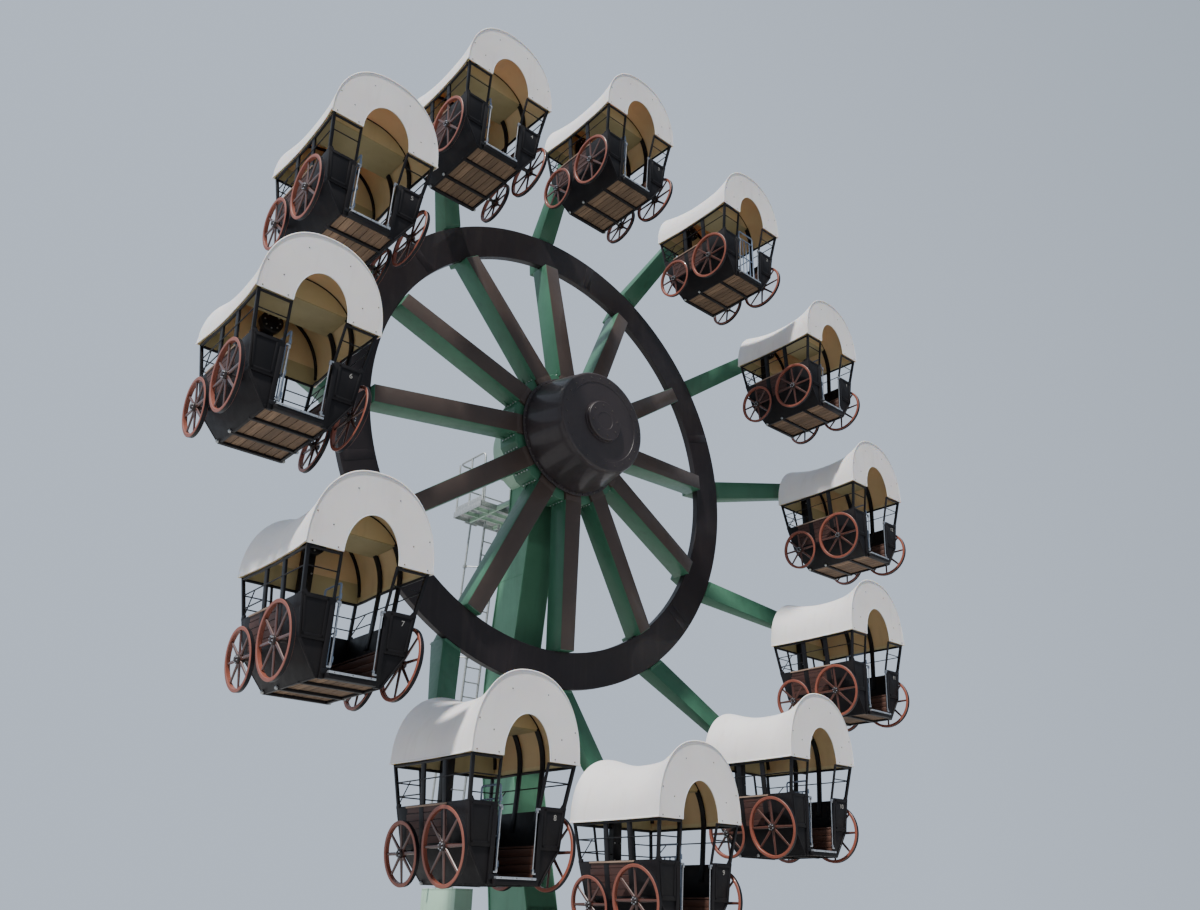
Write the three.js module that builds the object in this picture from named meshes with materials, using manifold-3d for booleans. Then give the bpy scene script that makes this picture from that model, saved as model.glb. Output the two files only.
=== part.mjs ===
// A one-sided ferris wheel of twelve covered wagons.
// Millimetres, +Z up, +X to the right as seen from the front, wheel axis along Y, front towards -Y.
// The origin is the middle of the front column's foot, on the ground.
import * as THREE from "three";
import { mergeVertices } from "three/addons/utils/BufferGeometryUtils.js";
import Module from "manifold-3d";

const wasm = await Module();
wasm.setup();

// Driving dimensions
const WAGON_COUNT = 12;
const PIVOT_CIRCLE_RADIUS = 6400;
const REST_TURN = 5.64; // degrees from +X to the wagon numbered 12
const AXIS_Z = 9800;
const GAP = 0.4;

// Wagon, measured from its pivot
const PIVOT_ABOVE_EAVES = 660;
const EAVES_Z = -PIVOT_ABOVE_EAVES;
const CANOPY_FRONT_Y = -2214;
const CANOPY_LENGTH = 1970;
const CANOPY_REAR_Y = CANOPY_FRONT_Y + CANOPY_LENGTH;
const CANOPY_HALF_WIDTH = 886;
const CANOPY_SHELL = 14;
// share of the length, height over the eaves, share of the half width
const CANOPY_STATIONS = [[0, 1150, 1], [0.22, 935, 0.955], [0.6, 865, 0.945], [1, 1035, 1]];
const CANOPY_ROUNDNESS = 2.25;
const CANOPY_ARC_STEPS = 8;
const DOOR_HALF_WIDTH = 384;
const DOOR_ARCH_HEIGHT = 575;
const REAR_SHEET_LIP = 60;
// the box narrows on all sides from the top of its walls to their foot, and again to the floor's underside
const BOX_TOP = { z: EAVES_Z - 550, half: 780, front: CANOPY_FRONT_Y + 130, rear: CANOPY_REAR_Y - 100 };
const BOX_MIDDLE = { z: EAVES_Z - 1080, half: 715, front: CANOPY_FRONT_Y + 160, rear: CANOPY_REAR_Y - 215 };
const BOX_FLOOR = { z: EAVES_Z - 1505, half: 440, front: CANOPY_FRONT_Y + 185, rear: CANOPY_REAR_Y - 360 };
const SEAT_TOP_Z = EAVES_Z - 1020;
const FLOOR_TOP_Z = EAVES_Z - 1440;
const FOOTWELL_HALF_WIDTH = 390;
const DOORWAY_HALF_WIDTH = 330;
const WALL = 40;
const POST = 45;
const POST_SPREAD = 25; // how far a corner post stands inside the box's outer face
const EAVES_HALF_WIDTH = 826;
const EAVES_FRONT_Y = CANOPY_FRONT_Y + 47;
const EAVES_REAR_Y = CANOPY_REAR_Y - 45;
const EAVES_TUBE = 44;
const JAMB_TOP_X = 389;
const JAMB_FOOT_X = 352;
const REAR_POST_X = 430;
const SILL_DEPTH = 75;
const BOW_STATIONS = [0.36, 0.635];
const BOW_WIDTH = 90;
const BOW_DEPTH = 36;
const WHEEL_WIDTH = 60;
const WHEEL_RIM_DEPTH = 50;
// centre, radius and outward lean of a front and a rear side wheel
const FRONT_WHEEL = { x: 846, y: CANOPY_FRONT_Y + 502, z: EAVES_Z - 1085, radius: 486, lean: 5.5 };
const REAR_WHEEL = { x: 841, y: CANOPY_FRONT_Y + 1507, z: EAVES_Z - 1146, radius: 409, lean: 7.5 };
const WHEEL_SIDES = 10;
const HUB_INNER_X = 650;
const GATE_TOP_Z = EAVES_Z - 310;
const GATE_BOTTOM_Z = FLOOR_TOP_Z + 60;
const GATE_TUBE = 28;
const GATE_HINGE_X = -260;
const GATE_WIDTH = 450;
const GATE_BARS = 3;
const GATE_Y = CANOPY_FRONT_Y + 170;
const CLOSED_GATES = [2];

// Arm tip and pivot
const ARM_TIP_RADIUS = 175;
const ARM_TIP_DEPTH = 210;
const AXLE_RADIUS = 55;

// Wheel, measured from its hub centre, with y from the pivots' plane
const WAGON_PLANE_Y = -856;
const RIM_OUTER = 4717;
const RIM_INNER = 4051;
const RIM_FRONT_Y = 28;
const RIM_THICKNESS = 140;
const SPOKE_WIDTH = 310;
const SPOKE_HUB_WIDTH = 390;
const SPOKE_DEPTH = 430;
const SPOKE_INNER_FRONT_Y = -446;
const KNEE_RADIUS = 4900;
const KNEE_FRONT_Y = 28;
const ARM_WIDTH = 350;
const ARM_KNEE_WIDTH = 400;
const DRUM_RADIUS = 1290;
const BARREL_BACK_Y = -548;
const BARREL_FRONT_Y = -1387;
const BARREL_BACK_RADIUS = 1165;
const BARREL_FRONT_RADIUS = 990;
const CAP_RADIUS = 400;
const CAP_DEPTH = 70;
const ROUND_SIDES = 28;
const RIM_SIDES = 48;
const RIM_FLAT = Math.cos(Math.PI / RIM_SIDES);

// Tower, in the plane x = 0
const BASE_HALF_WIDTH = 400;
const BASE_FRONT_Y = -620;
const BASE_REAR_Y = 3260;
const BASE_THICKNESS = 250;
const COLUMN_HALF_WIDTH = 320;
const COLUMN_FRONT = [[-508, 250.4], [-62, 1930], [640, 4680], [674, 5300], [290, 8140], [165, 9100]];
const COLUMN_REAR = [
  [655, 250.4], [910, 1920], [1300, 3720], [1450, 5090], [1410, 5630], [1200, 7190], [1000, 8600],
  [1000, 9100],
];
const HEAD_RADIUS = 820;
const HEAD_FRONT_Y = 160;
const HEAD_REAR_Y = 1000;
const SHAFT_RADIUS = 300;
const SHAFT_LENGTH = 400;
const COLLAR_RADIUS = 480;
const PEDESTAL_HALF_WIDTH = 185;
const PEDESTAL_FRONT_Y = 2050;
const PEDESTAL_REAR_Y = 3150;
const PEDESTAL_TOP_Z = 1850;
const PLATFORM_TOP_Z = AXIS_Z - 940;
const PLATFORM_THICKNESS = 120;
const PLATFORM_HALF_WIDTH = 700;
const PLATFORM_FRONT_Y = 1430;
const PLATFORM_REAR_Y = 2400;
const RAIL_HEIGHT = 1100;
const RAIL_TUBE = 44;
const LADDER_HALF_WIDTH = 170;
const LADDER_TUBE = 50;
const LADDER_FOOT_Y = 2700;
const LADDER_TOP_Y = 2020;
const RUNG_STEP = 280;

const radians = THREE.MathUtils.degToRad;

// Solids and joins
function solid(geometry) {
  const bare = geometry.index ? geometry.toNonIndexed() : geometry.clone();
  bare.deleteAttribute("normal");
  bare.deleteAttribute("uv");
  const merged = mergeVertices(bare, 1e-3);
  const corners = merged.index.array;
  const kept = [];
  for (let i = 0; i < corners.length; i += 3) {
    const [a, b, c] = corners.slice(i, i + 3);
    if (a !== b && b !== c && a !== c) kept.push(a, b, c);
  }
  return new wasm.Manifold(
    new wasm.Mesh({
      numProp: 3,
      vertProperties: new Float32Array(merged.attributes.position.array),
      triVerts: new Uint32Array(kept),
    }),
  );
}

function join(solids) {
  return solids.reduce((whole, piece) => whole.add(piece));
}

function geometryOf(made) {
  const mesh = made.getMesh();
  const positions = new Float32Array(mesh.numVert * 3);
  for (let i = 0; i < mesh.numVert; i++) {
    const start = i * mesh.numProp;
    positions.set(mesh.vertProperties.subarray(start, start + 3), i * 3);
  }
  return new THREE.BufferGeometry()
    .setAttribute("position", new THREE.BufferAttribute(positions, 3))
    .setIndex(new THREE.BufferAttribute(new Uint32Array(mesh.triVerts), 1));
}

function block(x0, x1, y0, y1, z0, z1) {
  const geometry = new THREE.BoxGeometry(x1 - x0, y1 - y0, z1 - z0);
  geometry.translate((x0 + x1) / 2, (y0 + y1) / 2, (z0 + z1) / 2);
  return solid(geometry);
}

// A round bar along Y between two values of y.
function barrelAlongY(radius, y0, y1, sides, radiusAtFront = radius) {
  const geometry = new THREE.CylinderGeometry(radius, radiusAtFront, y1 - y0, sides);
  geometry.rotateY(Math.PI / sides);
  geometry.translate(0, (y0 + y1) / 2, 0);
  return solid(geometry);
}

// A convex body with eight corners: the four of its low end, then the four of its high end.
function hexahedron(low, high) {
  const corners = [...low, ...high].flat();
  const faces = [0, 2, 1, 0, 3, 2, 4, 5, 6, 4, 6, 7];
  for (let i = 0; i < 4; i++) {
    const next = (i + 1) % 4;
    faces.push(i, next, next + 4, i, next + 4, i + 4);
  }
  const geometry = new THREE.BufferGeometry()
    .setAttribute("position", new THREE.BufferAttribute(new Float32Array(corners), 3))
    .setIndex(faces);
  return solid(geometry);
}

// A prism: an outline in y and z, from x0 to x1.
function slabAcrossX(outline, x0, x1) {
  const shape = new THREE.Shape(outline.map(([y, z]) => new THREE.Vector2(y, z)));
  const geometry = new THREE.ExtrudeGeometry(shape, { depth: x1 - x0, bevelEnabled: false });
  geometry.applyMatrix4(new THREE.Matrix4().set(0, 0, 1, x0, 1, 0, 0, 0, 0, 1, 0, 0, 0, 0, 0, 1));
  return solid(geometry);
}

// A prism: a shape in x and z, from y0 to y1.
function slabAcrossY(shape, y0, y1, curveSteps = 12) {
  const settings = { depth: y1 - y0, bevelEnabled: false, curveSegments: curveSteps };
  const geometry = new THREE.ExtrudeGeometry(shape, settings);
  geometry.applyMatrix4(new THREE.Matrix4().set(1, 0, 0, 0, 0, 0, -1, y1, 0, 1, 0, 0, 0, 0, 0, 1));
  return solid(geometry);
}

// Canopy of a wagon
function arcPoint(halfWidth, height, step, steps) {
  const angle = (Math.PI * step) / steps;
  const power = 2 / CANOPY_ROUNDNESS;
  const across = Math.sign(Math.cos(angle)) * Math.abs(Math.cos(angle)) ** power;
  return [halfWidth * across, EAVES_Z + height * Math.sin(angle) ** power];
}

function canopyArc(y, halfWidth, height) {
  const points = [];
  for (let i = 0; i <= CANOPY_ARC_STEPS; i++) {
    const [x, z] = arcPoint(halfWidth, height, i, CANOPY_ARC_STEPS);
    points.push([x, y, z]);
  }
  return points;
}

function doorArc(y, halfWidth, height) {
  const points = [];
  for (let i = 0; i <= CANOPY_ARC_STEPS; i++) {
    const angle = (Math.PI * i) / CANOPY_ARC_STEPS;
    points.push([halfWidth * Math.cos(angle), y, EAVES_Z + height * Math.sin(angle)]);
  }
  return points;
}

// Closed loops along the canopy: the outer arc, then back along the inner arc, the doorway or the rear edge.
function canopyLoops() {
  const stations = CANOPY_STATIONS.map(([share, height, pinch]) => {
    const y = CANOPY_FRONT_Y + share * CANOPY_LENGTH;
    return { y, height, halfWidth: CANOPY_HALF_WIDTH * pinch };
  });
  const loop = (station, y, inner) => {
    return [...canopyArc(y, station.halfWidth, station.height), ...inner.reverse()];
  };
  const hoop = (station, y) => {
    const inner = canopyArc(y, station.halfWidth - CANOPY_SHELL, station.height - CANOPY_SHELL);
    return loop(station, y, inner);
  };
  const door = (y) => doorArc(y, DOOR_HALF_WIDTH, DOOR_ARCH_HEIGHT);
  const sill = (y) => doorArc(y, CANOPY_HALF_WIDTH - REAR_SHEET_LIP, 0);
  const first = stations[0];
  const last = stations[stations.length - 1];
  const frontInside = first.y + CANOPY_SHELL;
  const rearInside = last.y - CANOPY_SHELL;
  return [
    loop(first, first.y, door(first.y)),
    loop(first, frontInside, door(frontInside)),
    hoop(first, frontInside),
    ...stations.slice(1, -1).map((station) => hoop(station, station.y)),
    hoop(last, rearInside),
    loop(last, rearInside, sill(rearInside)),
    loop(last, last.y, sill(last.y)),
  ];
}

function canopyShell() {
  const rows = canopyLoops();
  const perRow = rows[0].length;
  const last = (rows.length - 1) * perRow;
  const faces = [];
  for (let row = 0; row < rows.length - 1; row++) {
    for (let i = 0; i < perRow; i++) {
      const a = row * perRow + i;
      const b = row * perRow + ((i + 1) % perRow);
      faces.push(a, a + perRow, b, b, a + perRow, b + perRow);
    }
  }
  for (let i = 0; i < CANOPY_ARC_STEPS; i++) {
    const back = perRow - 1 - i;
    faces.push(i, i + 1, back, i + 1, back - 1, back);
    faces.push(last + i, last + back, last + i + 1, last + i + 1, last + back, last + back - 1);
  }
  const geometry = new THREE.BufferGeometry()
    .setAttribute("position", new THREE.BufferAttribute(new Float32Array(rows.flat(2)), 3))
    .setIndex(faces);
  return solid(geometry);
}

function canopySolid() {
  const hole = barrelAlongY(AXLE_RADIUS + 30, CANOPY_REAR_Y - 200, CANOPY_REAR_Y + 100, 4);
  return canopyShell().subtract(hole);
}

// Side wheels of a wagon
function wheelRing(radius) {
  const shape = new THREE.Shape();
  const hole = new THREE.Path();
  for (let i = 0; i < WHEEL_SIDES; i++) {
    const angle = ((i + 0.5) * 2 * Math.PI) / WHEEL_SIDES;
    const out = new THREE.Vector2(radius * Math.cos(angle), radius * Math.sin(angle));
    const inside = out.clone().multiplyScalar((radius - WHEEL_RIM_DEPTH) / radius);
    const method = i === 0 ? "moveTo" : "lineTo";
    shape[method](out.x, out.y);
    hole[method](inside.x, inside.y);
  }
  shape.closePath();
  hole.closePath();
  shape.holes.push(hole);
  return slabAcrossY(shape, -WHEEL_WIDTH / 2, WHEEL_WIDTH / 2).rotate([0, 0, 90]);
}

function wagonWheel(side, { x, y, z, radius, lean }) {
  const reach = radius - WHEEL_RIM_DEPTH / 2;
  const pieces = [
    wheelRing(radius),
    block(-20, 20, -25, 25, -reach, reach),
    block(HUB_INNER_X - x, 60, -60, 60, -60, 60),
  ];
  const whole = join(pieces).rotate([0, lean, 0]).translate([x, y, z]);
  return side > 0 ? whole : whole.mirror([1, 0, 0]);
}

// Box of a wagon
function boxLevel(z) {
  const share = (z - BOX_MIDDLE.z) / (BOX_TOP.z - BOX_MIDDLE.z);
  const between = (key) => BOX_MIDDLE[key] + share * (BOX_TOP[key] - BOX_MIDDLE[key]);
  return { z, half: between("half"), front: between("front"), rear: between("rear") };
}

function ring({ z, half, front, rear }, inset = 0) {
  const x = half - inset;
  return [[-x, front + inset, z], [x, front + inset, z], [x, rear - inset, z], [-x, rear - inset, z]];
}

function wagonBox() {
  const inside = FOOTWELL_HALF_WIDTH;
  const door = DOORWAY_HALF_WIDTH;
  const { front, rear } = BOX_FLOOR;
  const above = BOX_TOP.z + 20;
  const upper = hexahedron(ring(BOX_MIDDLE), ring(BOX_TOP));
  const lower = hexahedron(ring(BOX_FLOOR), ring(BOX_MIDDLE));
  const room = hexahedron(ring(boxLevel(SEAT_TOP_Z), WALL), ring(boxLevel(above), WALL));
  const footwell = block(-inside, inside, front + WALL, rear - WALL, FLOOR_TOP_Z, SEAT_TOP_Z + 5);
  const doorway = block(-door, door, CANOPY_FRONT_Y, front + WALL + 5, FLOOR_TOP_Z, above);
  const sill = block(-door, door, front - SILL_DEPTH, front + 5, BOX_FLOOR.z, FLOOR_TOP_Z);
  return upper.add(lower).subtract(room).subtract(footwell).subtract(doorway).add(sill);
}

// The block on the floor that carries the gate's lower pivot.
function gateLug() {
  const y = GATE_Y + GATE_TUBE / 2;
  const left = -FOOTWELL_HALF_WIDTH - 5;
  return block(left, GATE_HINGE_X + 20, y - 24, y + 24, FLOOR_TOP_Z - 5, GATE_BOTTOM_Z - GAP);
}

// Posts, eaves frame, uprights and axle of a wagon
function square([x, y, z], half) {
  return [[x - half, y - half, z], [x + half, y - half, z], [x + half, y + half, z], [x - half, y + half, z]];
}

function post(footX, footY, topX, topY) {
  const foot = [footX, footY, BOX_TOP.z - 20];
  const top = [topX, topY, EAVES_Z - GAP];
  return hexahedron(square(foot, POST / 2), square(top, POST / 2));
}

function wagonPosts() {
  const pieces = [];
  const footFront = BOX_TOP.front + POST_SPREAD;
  const footRear = BOX_TOP.rear - POST_SPREAD;
  for (const side of [-1, 1]) {
    const corner = side * EAVES_HALF_WIDTH;
    const foot = side * (BOX_TOP.half - POST_SPREAD);
    pieces.push(
      post(foot, footFront, corner, EAVES_FRONT_Y),
      post(foot, footRear, corner, EAVES_REAR_Y),
      post(side * JAMB_FOOT_X, footFront, side * JAMB_TOP_X, EAVES_FRONT_Y),
      post(side * (REAR_POST_X - 30), footRear, side * REAR_POST_X, EAVES_REAR_Y),
    );
  }
  return pieces;
}

function eavesFrame() {
  const top = EAVES_Z - GAP;
  const half = POST / 2;
  const x = EAVES_HALF_WIDTH + half;
  const tube = (x0, x1, y0, y1) => block(x0, x1, y0 - half, y1 + half, top - EAVES_TUBE, top);
  return [
    tube(-x, -x + POST, EAVES_FRONT_Y, EAVES_REAR_Y),
    tube(x - POST, x, EAVES_FRONT_Y, EAVES_REAR_Y),
    tube(-x, x, EAVES_REAR_Y, EAVES_REAR_Y),
    tube(-x, -JAMB_TOP_X + half, EAVES_FRONT_Y, EAVES_FRONT_Y),
    tube(JAMB_TOP_X - half, x, EAVES_FRONT_Y, EAVES_FRONT_Y),
  ];
}

// The stout upright at the rear and the axle it carries.
function wagonAxle() {
  const collar = -ARM_TIP_DEPTH / 2 - GAP;
  return [
    block(-90, 90, BOX_TOP.rear - WALL, CANOPY_REAR_Y - 20, BOX_TOP.z - 20, 110),
    barrelAlongY(AXLE_RADIUS, CANOPY_REAR_Y - 60, ARM_TIP_DEPTH / 2, 8),
    barrelAlongY(2 * AXLE_RADIUS, collar - 50, collar, 8),
  ];
}

// Flat uprights from the side wall to the canopy's edge.
function bows() {
  const pieces = [];
  const foot = BOX_TOP.z - 10;
  const half = BOW_WIDTH / 2;
  const section = (x, y, z) => [[x, y - half, z], [x + BOW_DEPTH, y - half, z], [x + BOW_DEPTH, y + half, z],
    [x, y + half, z]];
  for (const share of BOW_STATIONS) {
    const y = CANOPY_FRONT_Y + share * CANOPY_LENGTH;
    for (const side of [-1, 1]) {
      const low = side * (BOX_TOP.half - 5 - BOW_DEPTH / 2) - BOW_DEPTH / 2;
      const high = side * EAVES_HALF_WIDTH - BOW_DEPTH / 2;
      pieces.push(hexahedron(section(low, y, foot), section(high, y, EAVES_Z - 10)));
    }
  }
  return pieces;
}

function wagonBody() {
  const pieces = [wagonBox(), gateLug(), ...wagonPosts(), ...eavesFrame(), ...wagonAxle(), ...bows()];
  for (const side of [-1, 1]) {
    pieces.push(wagonWheel(side, FRONT_WHEEL), wagonWheel(side, REAR_WHEEL));
  }
  return join(pieces);
}

// Gate of a wagon, closed, its hinge line on the z axis
function gate() {
  const t = GATE_TUBE;
  const y0 = -GATE_TUBE / 2;
  const width = GATE_WIDTH;
  const pieces = [];
  for (const z of [GATE_BOTTOM_Z, GATE_TOP_Z - 300, GATE_TOP_Z - t]) {
    pieces.push(block(0, width, y0, y0 + t, z, z + t));
  }
  for (let i = 0; i < GATE_BARS + 2; i++) {
    const x = t / 2 + (i * (width - t)) / (GATE_BARS + 1);
    const edge = i === 0 || i === GATE_BARS + 1 ? t : t * 0.7;
    pieces.push(
      block(x - edge / 2, x + edge / 2, -edge / 2, edge / 2, GATE_BOTTOM_Z + 5, GATE_TOP_Z - 5),
    );
  }
  return join(pieces);
}

// Wheel: rim, spokes with their arms, hub
function ringShape(outer, inner) {
  const shape = new THREE.Shape();
  const hole = new THREE.Path();
  const sides = RIM_SIDES;
  for (let i = 0; i < sides; i++) {
    const angle = ((i + 0.5) * 2 * Math.PI) / sides;
    const method = i === 0 ? "moveTo" : "lineTo";
    shape[method](outer * Math.cos(angle), outer * Math.sin(angle));
    hole[method](inner * Math.cos(angle), inner * Math.sin(angle));
  }
  shape.closePath();
  hole.closePath();
  shape.holes.push(hole);
  return shape;
}

function rim() {
  return slabAcrossY(ringShape(RIM_OUTER, RIM_INNER), RIM_FRONT_Y, RIM_FRONT_Y + RIM_THICKNESS);
}

// One spoke and its arm, lying along +X before it is turned to its angle.
function section(x, front, depth, width) {
  return [[x, front, -width / 2], [x, front + depth, -width / 2], [x, front + depth, width / 2],
    [x, front, width / 2]];
}

function spokeArm() {
  const tipFront = WAGON_PLANE_Y - ARM_TIP_DEPTH / 2;
  const spoke = hexahedron(
    section(DRUM_RADIUS + GAP, SPOKE_INNER_FRONT_Y, SPOKE_DEPTH, SPOKE_HUB_WIDTH),
    section(KNEE_RADIUS, KNEE_FRONT_Y, SPOKE_DEPTH, SPOKE_WIDTH),
  );
  const arm = hexahedron(
    section(RIM_OUTER + 30, KNEE_FRONT_Y + 20, SPOKE_DEPTH - 40, ARM_KNEE_WIDTH),
    section(PIVOT_CIRCLE_RADIUS, tipFront, ARM_TIP_DEPTH, ARM_WIDTH),
  );
  const notch = block(
    RIM_INNER * RIM_FLAT - GAP, RIM_OUTER * RIM_FLAT + GAP,
    -1000, RIM_FRONT_Y + RIM_THICKNESS + GAP, -1000, 1000,
  );
  const tip = barrelAlongY(ARM_TIP_RADIUS, tipFront, tipFront + ARM_TIP_DEPTH, 12);
  const bore = barrelAlongY(AXLE_RADIUS + 6, tipFront - 50, tipFront + ARM_TIP_DEPTH + 50, 8);
  const place = [PIVOT_CIRCLE_RADIUS, 0, 0];
  return spoke.add(arm).subtract(notch).add(tip.translate(place)).subtract(bore.translate(place));
}

// The drum has one flat for each spoke.
function hubDrum() {
  const radius = DRUM_RADIUS / Math.cos(Math.PI / WAGON_COUNT);
  const front = BARREL_BACK_Y + GAP;
  const rear = HEAD_FRONT_Y - 60;
  const body = barrelAlongY(radius, front, rear, WAGON_COUNT);
  const shaft = barrelAlongY(SHAFT_RADIUS, rear - 10, HEAD_FRONT_Y + SHAFT_LENGTH, 16);
  const collar = barrelAlongY(COLLAR_RADIUS, rear - 10, HEAD_FRONT_Y - GAP, 16);
  return body.add(shaft).add(collar);
}

function barrel() {
  return barrelAlongY(BARREL_BACK_RADIUS, BARREL_FRONT_Y, BARREL_BACK_Y, ROUND_SIDES, BARREL_FRONT_RADIUS);
}

function cap() {
  const rear = BARREL_FRONT_Y - GAP;
  return barrelAlongY(CAP_RADIUS, rear - CAP_DEPTH, rear, 20);
}

// Tower: base, column, head with the shaft's bearing
function column() {
  const outline = [...COLUMN_FRONT, ...[...COLUMN_REAR].reverse()];
  const body = slabAcrossX(outline, -COLUMN_HALF_WIDTH, COLUMN_HALF_WIDTH);
  const seat = barrelAlongY(HEAD_RADIUS + GAP, -3000, 5000, ROUND_SIDES);
  return body.subtract(seat.translate([0, 0, AXIS_Z]));
}

function head() {
  const housing = barrelAlongY(HEAD_RADIUS, HEAD_FRONT_Y, HEAD_REAR_Y, ROUND_SIDES);
  const bore = barrelAlongY(SHAFT_RADIUS + 6, HEAD_FRONT_Y - 50, HEAD_FRONT_Y + SHAFT_LENGTH + 10, 16);
  return housing.subtract(bore);
}

function base() {
  const half = BASE_HALF_WIDTH;
  return block(-half, half, BASE_FRONT_Y, BASE_REAR_Y, 0, BASE_THICKNESS);
}

function pedestal() {
  const half = PEDESTAL_HALF_WIDTH;
  const bottom = BASE_THICKNESS + GAP;
  return block(-half, half, PEDESTAL_FRONT_Y, PEDESTAL_REAR_Y, bottom, PEDESTAL_TOP_Z);
}

// Platform behind the column, its railing and its ladder
function platform() {
  const half = PLATFORM_HALF_WIDTH;
  const bottom = PLATFORM_TOP_Z - PLATFORM_THICKNESS;
  const deck = block(-half, half, PLATFORM_FRONT_Y, PLATFORM_REAR_Y, bottom, PLATFORM_TOP_Z);
  const bracket = COLUMN_HALF_WIDTH;
  const reach = HEAD_REAR_Y + GAP;
  return deck.add(block(-bracket, bracket, reach, PLATFORM_FRONT_Y + 50, bottom, PLATFORM_TOP_Z));
}

function railing() {
  const t = RAIL_TUBE;
  const x = PLATFORM_HALF_WIDTH - t;
  const y0 = PLATFORM_FRONT_Y + t / 2;
  const y1 = PLATFORM_REAR_Y - t / 2;
  const foot = PLATFORM_TOP_Z + GAP;
  const top = PLATFORM_TOP_Z + RAIL_HEIGHT;
  const pieces = [];
  for (const [px, py] of [[-x, y0], [-x, y1], [0, y1], [x, y1], [x, y0]]) {
    pieces.push(block(px - t / 2, px + t / 2, py - t / 2, py + t / 2, foot, top - 5));
  }
  for (const z of [top - t, foot + RAIL_HEIGHT / 2]) {
    pieces.push(block(-x - t / 2, x + t / 2, y1 - t / 2, y1 + t / 2, z, z + t));
    for (const side of [-x, x]) {
      pieces.push(block(side - t / 2, side + t / 2, y0 - t / 2, y1, z, z + t));
    }
  }
  return join(pieces);
}

function ladder() {
  const foot = PEDESTAL_TOP_Z + GAP;
  const top = PLATFORM_TOP_Z - PLATFORM_THICKNESS - GAP;
  const lean = (LADDER_TOP_Y - LADDER_FOOT_Y) / (top - foot);
  const half = LADDER_HALF_WIDTH;
  const t = LADDER_TUBE / 2;
  const pieces = [];
  for (const x of [-half, half]) {
    const low = [[x - t, LADDER_FOOT_Y - t, foot], [x + t, LADDER_FOOT_Y - t, foot],
      [x + t, LADDER_FOOT_Y + t, foot], [x - t, LADDER_FOOT_Y + t, foot]];
    const high = [[x - t, LADDER_TOP_Y - t, top], [x + t, LADDER_TOP_Y - t, top],
      [x + t, LADDER_TOP_Y + t, top], [x - t, LADDER_TOP_Y + t, top]];
    pieces.push(hexahedron(low, high));
  }
  for (let z = foot + RUNG_STEP; z < top - 100; z += RUNG_STEP) {
    const y = LADDER_FOOT_Y + lean * (z - foot);
    pieces.push(block(-half, half, y - 14, y + 14, z - 14, z + 14));
  }
  return join(pieces);
}

// Materials
function material(colour, roughness, metalness) {
  return new THREE.MeshStandardMaterial({ color: colour, roughness, metalness });
}

const towerGreen = () => material(0x3f7a55, 0.45, 0.1);
const darkBrown = () => material(0x2c2526, 0.4, 0.1);
const galvanized = () => material(0xaab2b0, 0.5, 0.7);

const part = new THREE.Group();

function addPiece(parent, name, made, look) {
  const mesh = new THREE.Mesh(made.isBufferGeometry ? made : geometryOf(made), look);
  mesh.name = name;
  parent.add(mesh);
  return mesh;
}

// Wheel assembly
const wheelGroup = new THREE.Group();
wheelGroup.position.set(0, 0, AXIS_Z);
wheelGroup.rotation.y = -radians(REST_TURN);
part.add(wheelGroup);
const spokeGeometry = geometryOf(spokeArm());
for (let n = 1; n <= WAGON_COUNT; n++) {
  const name = "spoke_arm_" + String(n).padStart(2, "0");
  const mesh = addPiece(wheelGroup, name, spokeGeometry, towerGreen());
  mesh.rotation.y = -radians((n * 360) / WAGON_COUNT);
}
addPiece(wheelGroup, "wheel_rim", rim(), darkBrown());
addPiece(wheelGroup, "hub_drum", hubDrum(), towerGreen());
addPiece(wheelGroup, "hub_barrel", barrel(), darkBrown());
addPiece(wheelGroup, "hub_cap", cap(), darkBrown());

// Tower
addPiece(part, "front_column", column(), towerGreen());
addPiece(part, "tower_base", base(), towerGreen());
addPiece(part, "ladder_pedestal", pedestal(), towerGreen());
addPiece(part, "service_platform", platform(), galvanized());
addPiece(part, "platform_railing", railing(), galvanized());
addPiece(part, "service_ladder", ladder(), galvanized());
addPiece(part, "tower_head", head(), towerGreen()).position.z = AXIS_Z;

// Wagons
const bodyGeometry = geometryOf(wagonBody());
const canopyGeometry = geometryOf(canopySolid());
const gateGeometry = geometryOf(gate());
for (let n = 1; n <= WAGON_COUNT; n++) {
  const turn = radians(REST_TURN + (n * 360) / WAGON_COUNT);
  const wagon = new THREE.Group();
  wagon.position.set(
    PIVOT_CIRCLE_RADIUS * Math.cos(turn),
    WAGON_PLANE_Y,
    AXIS_Z + PIVOT_CIRCLE_RADIUS * Math.sin(turn),
  );
  part.add(wagon);
  const number = String(n).padStart(2, "0");
  addPiece(wagon, "wagon_" + number + "_body", bodyGeometry, material(0x3a2420, 0.6, 0));
  addPiece(wagon, "wagon_" + number + "_canopy", canopyGeometry, material(0xd8d0d2, 0.45, 0));
  const gateMesh = addPiece(
    wagon, "wagon_" + number + "_gate", gateGeometry, material(0x8fa3b8, 0.35, 0.6),
  );
  gateMesh.position.set(GATE_HINGE_X, GATE_Y + GATE_TUBE / 2, 0);
  gateMesh.rotation.z = CLOSED_GATES.includes(n) ? 0 : Math.PI / 2;
}

export default part;
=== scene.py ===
import math

import bmesh
import bpy
from mathutils import Matrix, Vector


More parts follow.
